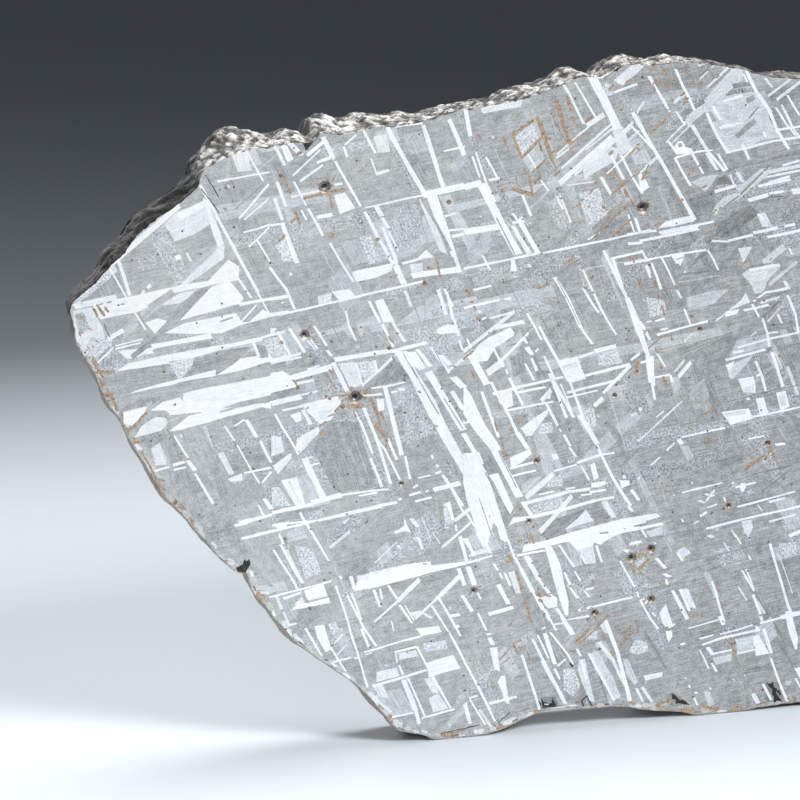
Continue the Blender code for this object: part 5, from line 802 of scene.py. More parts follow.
SPECKS = (
    (-81.9, 81.7, 0.35), (-71, 82.2, 0.4), (-67.1, 89.1, 0.4), (-66.9, 92.4, 0.35), (-84.2, 74.8, 0.35),
    (-75.7, 43, 0.7), (-77.1, 63.9, 0.4), (-75.5, 58.6, 0.4), (-74.6, 50.7, 0.35), (-62.9, 47.6, 0.5),
    (-73, 39.8, 0.35), (-66, 41.8, 0.35), (-64.4, 62.3, 0.35), (-68.6, 66.4, 0.35), (-58.1, 94, 0.6),
    (-30.6, 88.9, 0.7), (-34.6, 76, 0.8), (-33.9, 78.4, 0.4), (-29.6, 74.5, 0.35), (-28.3, 72.8, 0.35),
    (-40.6, 80.5, 0.3), (-45, 86.1, 0.45), (-22.5, 91.8, 0.4), (-22, 92.2, 0.3), (-12.3, 90.3, 0.35),
    (-20.3, 91.6, 0.3), (8.4, 83.9, 0.3), (2, 107.8, 0.4), (-48.2, 56.8, 0.7), (-55.6, 60.2, 0.6),
    (-51, 58.6, 0.4), (-50.4, 58.2, 0.5), (-53.4, 65.1, 0.35), (-53.1, 64, 0.3), (-40.5, 65.8, 0.6),
    (-42.9, 65, 0.35), (-50, 67.3, 0.45), (-51.4, 68.7, 0.4), (-45.2, 69.4, 0.3), (-44.6, 68.3, 0.35),
    (-42.7, 66.2, 0.35), (-38, 60.5, 0.4), (-37.9, 55.2, 0.45), (-35.8, 54.4, 0.35), (-34.3, 54.1, 0.35),
    (-35.3, 51.8, 0.35), (-29.2, 55.4, 0.45), (-30.4, 56.6, 0.35), (-38.5, 43.6, 0.55),
    (-14.8, 76.4, 0.3), (3.8, 77.3, 0.4), (0, 65.1, 0.4), (-0.2, 67, 0.35), (1.9, 59.8, 0.55),
    (-9.6, 63.6, 0.4), (-21.4, 75.5, 0.3), (3.8, 77.2, 0.45), (11.4, 68.6, 0.4), (17, 79, 0.3),
    (11.2, 58.2, 0.4), (16, 58, 0.4), (8.1, 55.5, 0.35), (15.5, 51.3, 0.3), (-53.9, 24.1, 0.6),
    (-57.9, 35.8, 0.55), (-46.2, 35, 0.35), (-50.2, 17.5, 0.4), (-26, 25, 0.95), (-27.6, 8, 0.5),
    (-17, 32.3, 0.35), (3.6, 44.5, 0.4), (1.2, 41.2, 0.4), (-15.4, 45.9, 1.1), (20.9, 47.6, 0.35),
    (25.2, 43.7, 0.5), (30.1, 39, 0.5), (15.7, 34.9, 0.45), (17.8, 35.6, 0.4), (6.6, 40.7, 0.35),
    (5, 41.2, 0.3), (6, 26.6, 0.3), (14.4, 17.3, 0.3), (19.2, 17.5, 0.35), (-4, 13.1, 0.55),
    (-10.9, 3.4, 0.3), (-9.4, 3.3, 0.3), (-10.8, 8.4, 0.3), (10.2, 5.9, 0.3), (13, 3.4, 0.35),
    (-6.2, 18.4, 0.5), (25.8, 3.5, 0.5), (27, 2.9, 0.3), (26.4, 1.8, 0.4),
)


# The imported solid, read back as stations round its rim

def slab_solid(frame):
    """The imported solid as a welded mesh, in millimetres."""
    shape = bmesh.new()
    shape.from_mesh(frame["nodes"][NODE].data)
    bmesh.ops.remove_doubles(shape, verts=shape.verts, dist=SAME_PLACE * MM)
    bmesh.ops.scale(shape, vec=(1 / MM, 1 / MM, 1 / MM), verts=shape.verts)
    return shape


def sawn_edge(shape, depth):
    """The edge of the sawn face at this depth, as (x, z) points: the longest loop that the face has."""
    uses = {}
    for face in shape.faces:
        if all(abs(v.co.y - depth) < SAME_PLACE for v in face.verts):
            for edge in face.edges:
                uses[edge] = uses.get(edge, 0) + 1
    links = {}
    for edge in (e for e, count in uses.items() if count == 1):
        a, b = edge.verts
        links.setdefault(a, []).append(b)
        links.setdefault(b, []).append(a)
    loops = []
    while links:
        start = min(links, key=lambda v: v.co.x)
        loop, here = [start], links[start][0]
        while here is not start:
            loop.append(here)
            here = next(v for v in links[here] if v is not loop[-2])
        for vert in loop:
            del links[vert]
        loops.append([Vector((v.co.x, v.co.z)) for v in loop])
    return max(loops, key=len)


def sides_of(corners):
    """Each corner with the one after it, round the whole outline."""
    return zip(corners, corners[1:] + corners[:1])


def signed_area(loop):
    """The area inside the loop, less than 0 where the loop runs clockwise."""
    return sum(a.x * b.y - b.x * a.y for a, b in sides_of(loop)) / 2


def evenly_spaced(loop, step):
    """The closed loop again, anticlockwise, with its points this far apart."""
    if signed_area(loop) < 0:
        loop = loop[::-1]
    sides = list(sides_of(loop))
    length = sum((b - a).length for a, b in sides)
    count = round(length / step)
    points, walked, wanted = [], 0.0, 0.0
    for a, b in sides:
        side = (b - a).length
        while len(points) < count and wanted <= walked + side:
            points.append(a.lerp(b, (wanted - walked) / side))
            wanted += length / count
        walked += side
    return points


def outward_normals(loop, reach=4):
    """A unit vector pointing out of the loop at each of its points, averaged over a few neighbours."""
    count = len(loop)
    normals = []
    for i in range(count):
        run = loop[(i + reach) % count] - loop[i - reach]
        normals.append(Vector((run.y, -run.x)).normalized())
    return normals


def smoothed_rows(rows, rounds):
    """The rim's grid of points, each moved halfway to the mean of its neighbours.

    Points of the end rows move along the edge only, and no point leaves its depth.
    """
    for _ in range(rounds):
        last, count = len(rows) - 1, len(rows[0])
        relaxed = []
        for r, row in enumerate(rows):
            new_row = []
            for i, point in enumerate(row):
                near = [row[i - 1], row[(i + 1) % count]]
                if 0 < r < last:
                    near += [rows[r - 1][i], rows[r + 1][i]]
                mean = sum(near, Vector()) / len(near)
                moved = point.lerp(mean, 0.5)
                new_row.append(Vector((moved.x, point.y, moved.z)))
            relaxed.append(new_row)
        rows = relaxed
    return rows


def rim_of_solid(shape):
    """The rim as rows of points from the front face's edge to the back one's, and each station's way out."""
    stations = evenly_spaced(sawn_edge(shape, -HALF), STATION_STEP)
    normals = outward_normals(stations)
    tree = BVHTree.FromBMesh(shape)
    deepest_probe = HALF - 0.01
    rows = []
    for r in range(RIM_ROWS):
        depth = -HALF * cos(pi * r / (RIM_ROWS - 1))
        probe = max(-deepest_probe, min(deepest_probe, depth))
        row = []
        for place, out in zip(stations, normals):
            inward = Vector((-out.x, 0.0, -out.y))
            start = Vector((place.x, probe, place.y)) - inward * RAY_START
            hit = tree.ray_cast(start, inward, 3 * RAY_START)[0]
            if hit is None:
                hit = Vector((place.x, probe, place.y))
            row.append(Vector((hit.x, depth, hit.z)))
        rows.append(row)
    return smoothed_rows(rows, 2), normals


# The rind: what its surface is like, place by place

def blend_between(value, low, high):
    """0 below low, 1 above high, and a smooth step between."""
    t = max(0.0, min(1.0, (value - low) / (high - low)))
    return t * t * (3 - 2 * t)


def rind_zones(place, out):
    """How chalky (white, granular crust) and how bare (pale, ground metal) the rind is here, from 0 to 1."""
    x = place.x + 3.0 * noise.noise(Vector((place.x * 0.08, 4.0, place.z * 0.08)))
    along_top = blend_between(x, -73.0, -69.0) * (1 - 0.55 * blend_between(x, 4.0, 16.0))
    chalky = blend_between(out.y, 0.15, 0.6) * along_top
    bare = blend_between(-out.y, -0.1, 0.35) * (1 - 0.6 * blend_between(x, 5.0, 30.0))
    return chalky, bare


def clod_height(place, size):
    """0 in the crevice between two clods of about this size in mm, and 1 on their rounded tops."""
    sway = noise.noise_vector(place * 0.8) * 0.5
    nearest, second = noise.voronoi((place + sway) / size)[0][:2]
    return blend_between(second - nearest, 0.0, 0.32)


def rind_relief(place, chalky, bare):
    """How far the surface stands out here in mm, and how deep in a hollow it lies, from 0 to 1."""
    lumps = noise.fractal(place * 0.45, 0.9, 2.0, 3)
    grains = noise.noise(place * 1.5)
    crumbs = noise.noise(place * 3.1)
    holes = max(0.0, noise.noise(place * 1.1 + Vector((30, 0, 0))) - 0.28) * 2.0
    lobes = abs(noise.noise(Vector((place.x * 0.42, place.y * 0.25, place.z * 0.42))))
    crease = 1 - clod_height(Vector((place.x, place.y * 0.45, place.z)), 2.6)
    crevice = 1 - clod_height(place, 2.1)
    charred = 0.36 * lobes + 0.12 * lumps + 0.05 * crumbs - 0.1 - 0.3 * crease
    crusty = 0.2 * lumps + 0.1 * grains + 0.06 * crumbs - 0.6 * holes - 0.34 * crevice
    ground = 0.12 * lumps + 0.05 * grains - 0.2 * holes
    height = charred + (crusty - charred) * chalky
    height += (ground - height) * bare
    # How deep a point lies in a hollow drives the rind's painted shade, and its high places get a painted
    # highlight
    hollow = max(0.0, min(1.0, 0.12 - 1.5 * height))
    return height, hollow


def weathered_rim(rows, normals):
    """The rim with its fine relief, and for each point its chalkiness, bareness and hollow."""
    shaped, looks = [], []
    for r, row in enumerate(rows):
        edge_share = blend_between(min(r, RIM_ROWS - 1 - r), 0.0, 4.0)
        new_row, look_row = [], []
        for place, out in zip(row, normals):
            chalky, bare = rind_zones(place, out)
            height, hollow = rind_relief(place, chalky, bare)
            push = height * (0.35 + 0.65 * edge_share)
            depth = max(-HALF, min(HALF, place.y))
            new_row.append(Vector((place.x + out.x * push, depth, max(0.0, place.z + out.y * push))))
            look_row.append((chalky, bare, hollow))
        shaped.append(new_row)
        looks.append(look_row)
    return shaped, looks


def worn_edge(row, normals, depth, seed):
    """The sawn face's own edge, a little inside the rim's end row, as if the sharp corner had worn off."""
    inset_row = []
    for place, out in zip(row, normals):
        wear = 0.5 + 0.5 * noise.noise(Vector((place.x * 0.35, seed, place.z * 0.35)))
        chips = max(0.0, noise.noise(Vector((place.x * 1.1, seed + 9, place.z * 1.1))) - 0.3)
        inset = 0.06 + 0.2 * wear + 0.5 * chips
        inset_row.append(Vector((place.x - out.x * inset, depth, max(0.02, place.z - out.y * inset))))
    return inset_row


# Plates: listed for the front face, and at random elsewhere

def heading(angle):
    """A unit vector on the face, at this angle in degrees."""
    return Vector((cos(radians(angle)), sin(radians(angle))))


def bar(start, end, width, kind, tone=0.0):
    """A straight plate. Its ends are cut along a steep plate, or along a rising one if it is steep itself."""
    along = (end - start).normalized()
    angle = degrees(atan2(along.y, along.x)) % 180
    cut = heading(STEEP if angle < 65 or angle > 165 else RISING)
    slope = max(0.4, abs(along.x * cut.y - along.y * cut.x))
    half = cut * (width / 2 / slope)
    return Plate(kind, [start - half, end - half, end + half, start + half], along, tone)


def patch(kind, corners, tone=0.0):
    """A plate of any outline, which lies along its longest side."""
    corners = [Vector(c) for c in corners]
    sides = [b - a for a, b in sides_of(corners)]
    return Plate(kind, corners, max(sides, key=lambda s: s.length).normalized(), tone)


def blot(start, end, width, kind, tone=0.0):
    """A mark with a ragged outline round the line from start to end."""
    run = end - start
    along = run.normalized()
    across = Vector((-along.y, along.x)) * (width / 2)
    steps = max(2, round(run.length / BLOT_STEP))
    right, left = [start - along * (width / 2)], []
    for k in range(steps + 1):
        place = start + run * (k / steps)
        ragged = noise.noise_vector(Vector((place.x * 2.3, 3.0, place.y * 2.3)))
        right.append(place - across * (1 + 0.7 * ragged.x))
        left.append(place + across * (1 + 0.7 * ragged.y))
    right.append(end + along * (width / 2))
    return Plate(kind, right + left[::-1], along, tone)


def box_between(corner, u, v, kind, tone=0.0):
    """A four-sided plate with one corner here and the sides u and v."""
    return patch(kind, [corner, corner + u, corner + u + v, corner + v], tone)


def random_place(rng, left, right):
    """A place on the face between these two values of x."""
    return Vector((rng.uniform(left, right), rng.uniform(0, SLAB_TOP)))


def random_run(rng, ways, shortest, longest, stray=2):
    """A vector along one of these ways, up to stray degrees off it."""
    return heading(rng.choice(ways) + rng.uniform(-stray, stray)) * rng.uniform(shortest, longest)


def broad_bands(rng, left, right, count):
    """Long grey plates, hardly brighter or darker than their neighbours."""
    plates = []
    for _ in range(count):
        centre = random_place(rng, left, right)
        run = random_run(rng, (RISING, RISING, STEEP, STEEPEST, SLANTING), 5, 20)
        kind = rng.choice(("grey", "grey", "grey", "light", "mottled"))
        width = rng.uniform(0.7, 2.6)
        plates.append(bar(centre - run, centre + run, width, kind, rng.uniform(-0.08, 0.04)))
    return plates


def small_fields(rng, left, right, count):
    """Small slanting fields of fleck and grey, between the bands."""
    plates = []
    for _ in range(count):
        corner = random_place(rng, left, right)
        u = random_run(rng, (RISING, RISING, SLANTING), 1.0, 5.0)
        v = random_run(rng, (STEEP, STEEPEST), 1.0, 6.0)
        kind = rng.choice(("grey", "grey", "mottled", "light"))
        plates.append(box_between(corner, u, v, kind, rng.uniform(-0.1, 0.04)))
    return plates


def fine_lines(rng, left, right, count, kinds=("light", "grey", "dark")):
    """Short thin lines along the four directions."""
    plates = []
    for _ in range(count):
        centre = random_place(rng, left, right)
        run = random_run(rng, (RISING, STEEP, STEEP, STEEPEST, SLANTING), 0.8, 4.5)
        width = rng.uniform(0.08, 0.2)
        kind = rng.choice(kinds)
        plates.append(bar(centre - run, centre + run, width, kind, rng.uniform(-0.1, 0.1)))
    return plates


def bright_fine_lines(rng, left, right, count):
    """The same short thin lines, bright."""
    return fine_lines(rng, left, right, count, ("pale", "white"))


def bright_cells(rng, left, right, count):
    """Slanting cells with bright borders and a comb of bright lines inside."""
    plates = []
    for _ in range(count):
        corner = random_place(rng, left, right)
        u = random_run(rng, (RISING, RISING, SLANTING), 2.5, 9.0)
        v = random_run(rng, (STEEP, STEEPEST), 2.5, 9.0)
        if rng.random() < 0.5:
            plates.append(box_between(corner, u, v, rng.choice(("mottled", "flecked", "grey", "light"))))
        for start, side in ((corner, u), (corner + v, u), (corner, v), (corner + u, v)):
            if rng.random() < 0.7:
                spare = rng.uniform(-0.1, 0.35)
                first, last = start - side * spare, start + side * (1 + spare)
                plates.append(bar(first, last, rng.uniform(0.2, 0.75), "white"))
        across, along = (u, v) if rng.random() < 0.6 else (v, u)
        for k in range(rng.randint(0, 4)):
            start = corner + across * ((k + rng.uniform(0.2, 0.8)) / 5)
            first, last = rng.uniform(0, 0.3), rng.uniform(0.6, 1.0)
            kind = rng.choice(("white", "white", "pale"))
            plates.append(bar(start + along * first, start + along * last, rng.uniform(0.15, 0.6), kind))
    return plates


def long_lines(rng, left, right, count):
    """Long bright plates that cross the cells."""
    plates = []
    for _ in range(count):
        centre = random_place(rng, left, right)
        run = random_run(rng, (RISING, RISING, STEEP), 5, 16, stray=1.5)
        plates.append(bar(centre - run, centre + run, rng.uniform(0.2, 0.9), "white"))
    return plates


def broad_bars(rng, left, right, count):
    """Wide bright bars, each alongside a narrower one."""
    plates = []
    for _ in range(count):
        centre = random_place(rng, left, right)
        way = heading(rng.choice((RISING, RISING, STEEP, STEEP, STEEPEST)) + rng.uniform(-2, 2))
        run = way * rng.uniform(2.5, 8.0)
        width = rng.uniform(0.9, 2.2)
        plates.append(bar(centre - run, centre + run, width, rng.choice(("white", "white", "pale"))))
        beside = centre + Vector((-way.y, way.x)) * width * rng.choice((-1, 1))
        plates.append(bar(beside - run * 0.8, beside + run * rng.uniform(0.4, 1.1), 0.35, "white"))
    return plates


def stain_marks(rng, left, right, count):
    """Small rust marks and dark specks, singly."""
    plates = []
    for _ in range(count):
        centre = random_place(rng, left, right)
        run = heading(rng.choice((RISING, STEEP))) * rng.uniform(0.1, 0.5)
        width = rng.uniform(0.2, 0.4)
        plates.append(blot(centre - run, centre + run, width, rng.choice(("rust", "speck"))))
    return plates


def small_bits(rng, left, right, count):
    """Tiny bright and dark bits, scattered."""
    plates = []
    for _ in range(count):
        centre = random_place(rng, left, right)
        run = random_run(rng, (RISING, STEEP, STEEPEST), 0.08, 0.35, stray=9)
        kind = rng.choice(("pale", "milky", "milky", "light", "dark"))
        plates.append(bar(centre - run, centre + run, rng.uniform(0.15, 0.4), kind))
    return plates


def edge_wear(rng, edge):
    """Sandy and rusty marks along the lower part of the face's edge, where the etching has worn off."""
    plates = []
    stride = 3
    for k in range(0, len(edge), stride):
        along = (edge[(k + stride) % len(edge)] - edge[k]).normalized()
        inward = Vector((-along.y, along.x))
        if inward.y < -0.25:
            continue
        place = edge[k] + inward * rng.uniform(0.15, 0.75)
        kind = rng.choice(("sand", "sand", "sand", "milky", "ochre", "speck"))
        width = 0.3 if kind == "speck" else rng.uniform(0.4, 1.1)
        end = place + along * rng.uniform(0.5, 2.2)
        plates.append(blot(place, end, width, kind, rng.uniform(-0.05, 0.2)))
    return plates


def layered(rng, left, right, layers):
    """Plates between these values of x: layer over layer, each with so many plates for a millimetre of x."""
    plates = []
    for laid, density in layers:
        plates += laid(rng, left, right, round((right - left) * density))
    return plates


def quiet_ground(rng, edge):
    """The grey plates of the whole face, which lie under the bright ones, and the wear at its edge."""
    layers = ((broad_bands, 1.6), (small_fields, 1.8), (fine_lines, 1.7), (small_bits, 1.4))
    return layered(rng, -SLAB_REACH, SLAB_REACH, layers) + edge_wear(rng, edge)


def bright_pattern(rng, left):
    """The bright plates to the right of this x, as the seed alone decides them."""
    layers = ((long_lines, 0.3), (broad_bars, 0.35), (bright_cells, 1.3), (bright_fine_lines, 1.2),
              (stain_marks, 0.5))
    return layered(rng, left, SLAB_REACH, layers)


def laid_plates(rng):
    """The plates of FIELDS, BARS and SPECKS."""
    plates = [patch(kind, corners, rng.uniform(-0.04, 0.04)) for kind, *corners in FIELDS]
    for kind, lines in BARS.items():
        shaped = blot if kind in ("crack", "rust") else bar
        for x, z, end_x, end_z, width in lines:
            start, end = Vector((x, z)), Vector((end_x, end_z))
            plates.append(shaped(start, end, width, kind, rng.uniform(-0.04, 0.04)))
    for x, z, size in SPECKS:
        half = Vector((size * 0.2, 0.0))
        plates.append(blot(Vector((x, z)) - half, Vector((x, z)) + half, size, "speck"))
    return plates


def front_plates(edge):
    """The plates of the front face: those listed, and past their end those that the seed decides."""
    rng = random.Random(FRONT_SEED)
    return quiet_ground(rng, edge) + bright_pattern(rng, LAID_UNTIL) + laid_plates(rng)


def back_plates(edge):
    """The plates of the back face, all decided by the seed."""
    rng = random.Random(BACK_SEED)
    return quiet_ground(rng, edge) + bright_pattern(rng, -SLAB_REACH)


# Turning the plates, the pits and the rim into one mesh

def pit_plates(pits):
    """Ragged rings round each pit, whose points shape its bowl, and rusty streaks beside it."""
    streaks, ring_points = 6, 14
    plates = []
    for pit in pits:
        centre = Vector((pit.x, pit.z))
        for k in range(streaks):
            away = heading(k * 360 / streaks + 50 * noise.noise(Vector((k * 3.1, pit.x, pit.z))))
            reach = pit.radius * (1.5 + 0.9 * noise.noise(Vector((k * 2.3, pit.z, pit.x))))
            start, end = centre + away * pit.radius * 0.6, centre + away * reach
            plates.append(blot(start, end, pit.radius * 0.5, "ochre"))
        for share, kind, wobble in ((1.0, "bowl", 0.35), (0.75, "bowl", 0.3), (0.42, "core", 0.4)):
            ring = []
            for k in range(ring_points):
                ragged = 1 + wobble * noise.noise(Vector((k * 1.7, pit.x, pit.z + share)))
                out = heading(k * 360 / ring_points)
                ring.append(centre + Vector((out.x * 1.15, out.y * 0.9)) * (pit.radius * share * ragged))
            plates.append(Plate(kind, ring, Vector((1, 0)), 0.0))
    return plates


def wavering(corners, step=2.6, sway=0.12):
    """The plate's outline, anticlockwise, with points added along its sides, a little off the straight."""
    points = []
    if signed_area(corners) < 0:
        corners = corners[::-1]
    for a, b in sides_of(corners):
        pieces = max(1, round((b - a).length / step))
        for k in range(pieces):
            p = a.lerp(b, k / pieces)
            push = noise.noise_vector(Vector((p.x * 1.3, 7.0, p.y * 1.3))) * sway
            points.append(Vector((p.x + push.x, p.y + push.z)))
    return points


def span_of(corners):
    """The box round an outline: its left, right, low and high ends."""
    across, upward = [c.x for c in corners], [c.y for c in corners]
    return min(across), max(across), min(upward), max(upward)


def within(place, span):
    """Whether the place lies in the box."""
    left, right, low, high = span
    return left <= place.x <= right and low <= place.y <= high


def middle_of(corners):
    """The mean of a triangle's corners."""
    return sum(corners, Vector((0, 0))) / 3


def triangulated(points, lines, outlines, tolerance):
    """Triangles inside the outlines, cut along every line and outline.

    Returns the points and the triangles, then what each comes from: for a point the numbers of the points
    given, and for a triangle the numbers of the outlines that it lies in.
    """
    result = delaunay_2d_cdt(points, lines, outlines, 1, tolerance, True)
    return result[0], result[2], result[3], result[5]


def outer_sides(triangles):
    """For each point on the outer border of the triangles, the point that comes after it."""
    sides = dict.fromkeys(side for face in triangles for side in sides_of(face))
    return {a: b for a, b in sides if (b, a) not in sides}


def overlaid(edge, plates):
    """Triangles over the face inside this edge, cut along every plate's outline, however deep it lies.

    Returns the points, the triangles, for each triangle the number of the last plate that covers it, counted
    from 1, or 0 for bare ground, and for each point the station it stands on, or None.
    """
    points = [Vector((v.x, v.z)) for v in edge]
    outlines = [list(range(len(points)))]
    spans = [None]
    for plate in plates:
        corners = wavering(plate.corners)
        outlines.append(list(range(len(points), len(points) + len(corners))))
        spans.append(span_of(corners))
        points += corners
    places, faces, sources, owners = triangulated(points, [], outlines, 0.0001)
    stations = [min(origin) if origin and min(origin) < len(edge) else None for origin in sources]
    triangles, tops = [], []
    for face, own in zip(faces, owners):
        if 0 in own:
            middle = middle_of([places[i] for i in face])
            triangles.append(face)
            tops.append(max((k for k in own if k and within(middle, spans[k])), default=0))
    return places, triangles, tops, stations


def covered_face(edge, plates):
    """The same triangles again with only the borders that show, which leaves far fewer of them.

    Returns the points, the triangles with their plates, and for each point the station it stands on, or None.
    """
    places, triangles, tops, stations = overlaid(edge, plates)
    outside = outer_sides(triangles)
    rim = [min(outside)]
    while outside[rim[-1]] != rim[0]:
        rim.append(outside[rim[-1]])
    top_left_of = {side: top for face, top in zip(triangles, tops) for side in sides_of(face)}
    borders = []
    for (a, b), top in top_left_of.items():
        if a < b and top_left_of.get((b, a), top) != top:
            borders.append((a, b))
    kept = sorted({i for pair in borders for i in pair} | set(rim))
    number = {i: k for k, i in enumerate(kept)}
    lines = [(number[a], number[b]) for a, b in borders]
    outline = [number[i] for i in rim]
    fresh, faces, sources, owners = triangulated([places[i] for i in kept], lines, [outline], 0.00001)
    fresh_stations = []
    for origin in sources:
        at = [stations[kept[i]] for i in origin if stations[kept[i]] is not None]
        fresh_stations.append(at[0] if at else None)
    ground = BVHTree.FromPolygons([(p.x, p.y, 0.0) for p in places], triangles)
    covered = []
    for face in (face for face, own in zip(faces, owners) if own):
        middle = middle_of([fresh[i] for i in face])
        top = tops[ground.find_nearest((middle.x, middle.y, 0.0))[2]]
        covered.append((face, plates[top - 1] if top else None))
    return fresh, covered, fresh_stations


def bowl_depth(place, pits):
    """How deep a pit is cut here, in mm."""
    depth = 0.0
    for pit in pits:
        away = (Vector((pit.x, pit.z)) - place).length / pit.radius
        if away < 1.25:
            depth = max(depth, pit.depth * exp(-2.2 * away ** 4))
    return depth


class SliceMesh:
    """Gathers the faces of the slice with what each is made of, then makes one mesh of them."""

    def __init__(self):
        self.points = []
        self.faces = []
        self.materials = []
        self.smooth = []
        self.marks = []
        self.lays = []
        self.layout = []
        self.rind = []

    def add_point(self, place, rind=(0.0, 0.0, 0.0)):
        self.points.append(place)
        self.rind.append(rind)
        return len(self.points) - 1

    def add_face(self, corners, layout, material, smooth, marks=KINDS["grey"], lay=(1.0, 0.0, 0.0)):
        self.faces.append(corners)
        self.layout += layout
        self.materials.append(material)
        self.smooth.append(smooth)
        self.marks.append(marks)
        self.lays.append(lay)

    def finished(self, name):
        mesh = bpy.data.meshes.new(name)
        mesh.from_pydata([p * MM for p in self.points], [], self.faces)
        mesh.polygons.foreach_set("material_index", self.materials)
        mesh.polygons.foreach_set("use_smooth", self.smooth)
        for index, label in enumerate(("tone", "fleck", "warm", "rust")):
            layer = mesh.attributes.new(label, "FLOAT", "FACE")
            layer.data.foreach_set("value", [m[index] for m in self.marks])
        for index, label in enumerate(("chalky", "bare", "hollow")):
            layer = mesh.attributes.new(label, "FLOAT", "POINT")
            layer.data.foreach_set("value", [r[index] for r in self.rind])
        layer = mesh.attributes.new("lay", "FLOAT_VECTOR", "FACE")
        layer.data.foreach_set("vector", [c for lay in self.lays for c in lay])
        unwrapped = mesh.uv_layers.new(name="OFBake")
        unwrapped.data.foreach_set("uv", [c / SHEET_SIDE for place in self.layout for c in place])
        mesh.validate()
        return mesh


def on_sheet(place, side, box_low):
    """Where a point of a sawn face goes on the flat sheet: the front above, the back mirrored below it."""
    if side < 0:
        return (place.x - box_low.x + SHEET_MARGIN, place.z - box_low.z + SHEET_UPPER_ROW)
    return (-box_low.x - place.x + SHEET_MARGIN, place.z - box_low.z + SHEET_MARGIN)


def add_sawn_face(target, edge_ids, edge, plates, pits, side, box_low):
    """Adds one sawn face. Returns, for each station, the points of its edge up to the next station."""
    places, triangles, stations = covered_face(edge, plates)
    ids = {}
    for i in sorted({i for face, _ in triangles for i in face}):
        if stations[i] is not None:
            ids[i] = edge_ids[stations[i]]
        else:
            sunk = bowl_depth(places[i], pits)
            ids[i] = target.add_point(Vector((places[i].x, side * (HALF - sunk), places[i].y)))
    for face, plate in triangles:
        corners = [ids[i] for i in face]
        sunken = any(abs(target.points[i].y) < HALF - 0.01 for i in corners)
        if plate:
            brightness, fleck, warm, rust = KINDS[plate.kind]
            marks = (brightness + plate.tone, fleck, warm, rust)
            lay = (plate.lay.x, 0.0, plate.lay.y)
        else:
            marks, lay = KINDS["grey"], (heading(RISING).x, 0.0, heading(RISING).y)
        if side > 0:
            corners.reverse()
        layout = [on_sheet(target.points[i], side, box_low) for i in corners]
        target.add_face(corners, layout, IRON, sunken, marks, lay)
    onward = outer_sides([face for face, _ in triangles])
    at_station = {s: i for i, s in enumerate(stations) if s is not None}
    runs = []
    for k in range(len(edge)):
        run, here = [], onward[at_station[k]]
        while stations[here] is None:
            run.append(ids[here])
            here = onward[here]
        runs.append(run)
    return runs


def add_worn_edge(target, inner_ids, runs, outer_ids, side, box_low):
    """Adds the narrow slope between a sawn face's edge and the rim's end row."""
    count = len(inner_ids)
    for k in range(count):
        after = (k + 1) % count
        corners = [outer_ids[k], outer_ids[after], inner_ids[after]] + runs[k][::-1] + [inner_ids[k]]
        if side > 0:
            corners.reverse()
        layout = [on_sheet(target.points[i], side, box_low) for i in corners]
        target.add_face(corners, layout, RIND, True)


def add_rim(target, row_ids, rows):
    """Adds the rim, as three strips side by side on the flat sheet."""
    count = len(row_ids[0])
    third = count // 3 + 1
    for r in range(len(rows) - 1):
        for k in range(count):
            after = (k + 1) % count
            corners = [row_ids[r][k], row_ids[r + 1][k], row_ids[r + 1][after], row_ids[r][after]]
            strip, step = divmod(k, third)
            left = SHEET_RIM_COLUMN + SHEET_STRIP_WIDTH * strip + HALF
            low, high = SHEET_MARGIN + step * STATION_STEP, SHEET_MARGIN + (step + 1) * STATION_STEP
            y_here, y_next = left + rows[r][k].y, left + rows[r + 1][k].y
            layout = [(y_here, low), (y_next, low), (y_next, high), (y_here, high)]
            target.add_face(corners, layout, RIND, True)


def slice_mesh(frame):
    """The whole slice as one mesh: both sawn faces, the worn edges beside them, and the rim between."""
    shape = slab_solid(frame)
    rows, normals = rim_of_solid(shape)
    shape.free()
    rows, looks = weathered_rim(rows, normals)
    low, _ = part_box(NODE)
    box_low = Vector(low) / MM
    target = SliceMesh()
    row_ids = []
    for row, look_row in zip(rows, looks):
        row_ids.append([target.add_point(p, look) for p, look in zip(row, look_row)])
    for side, row, pattern, pits in ((-1, 0, front_plates, FRONT_PITS), (1, -1, back_plates, BACK_PITS)):
        edge = worn_edge(rows[row], normals, side * HALF, side)
        plates = pattern([Vector((p.x, p.z)) for p in edge]) + pit_plates(pits)
        edge_ids = [target.add_point(p, look) for p, look in zip(edge, looks[row])]
        runs = add_sawn_face(target, edge_ids, edge, plates, pits, side, box_low)
        add_worn_edge(target, edge_ids, runs, row_ids[row], side, box_low)
    add_rim(target, row_ids, rows)
    return target.finished("etched_slice")


# Materials

def srgb(red, green, blue):
    """A colour given as it looks on a screen, 0 to 255, as the light that the shader wants."""
    shares = (c / 255 for c in (red, green, blue))
    return tuple(c / 12.92 if c <= 0.04045 else ((c + 0.055) / 1.055) ** 2.4 for c in shares) + (1.0,)


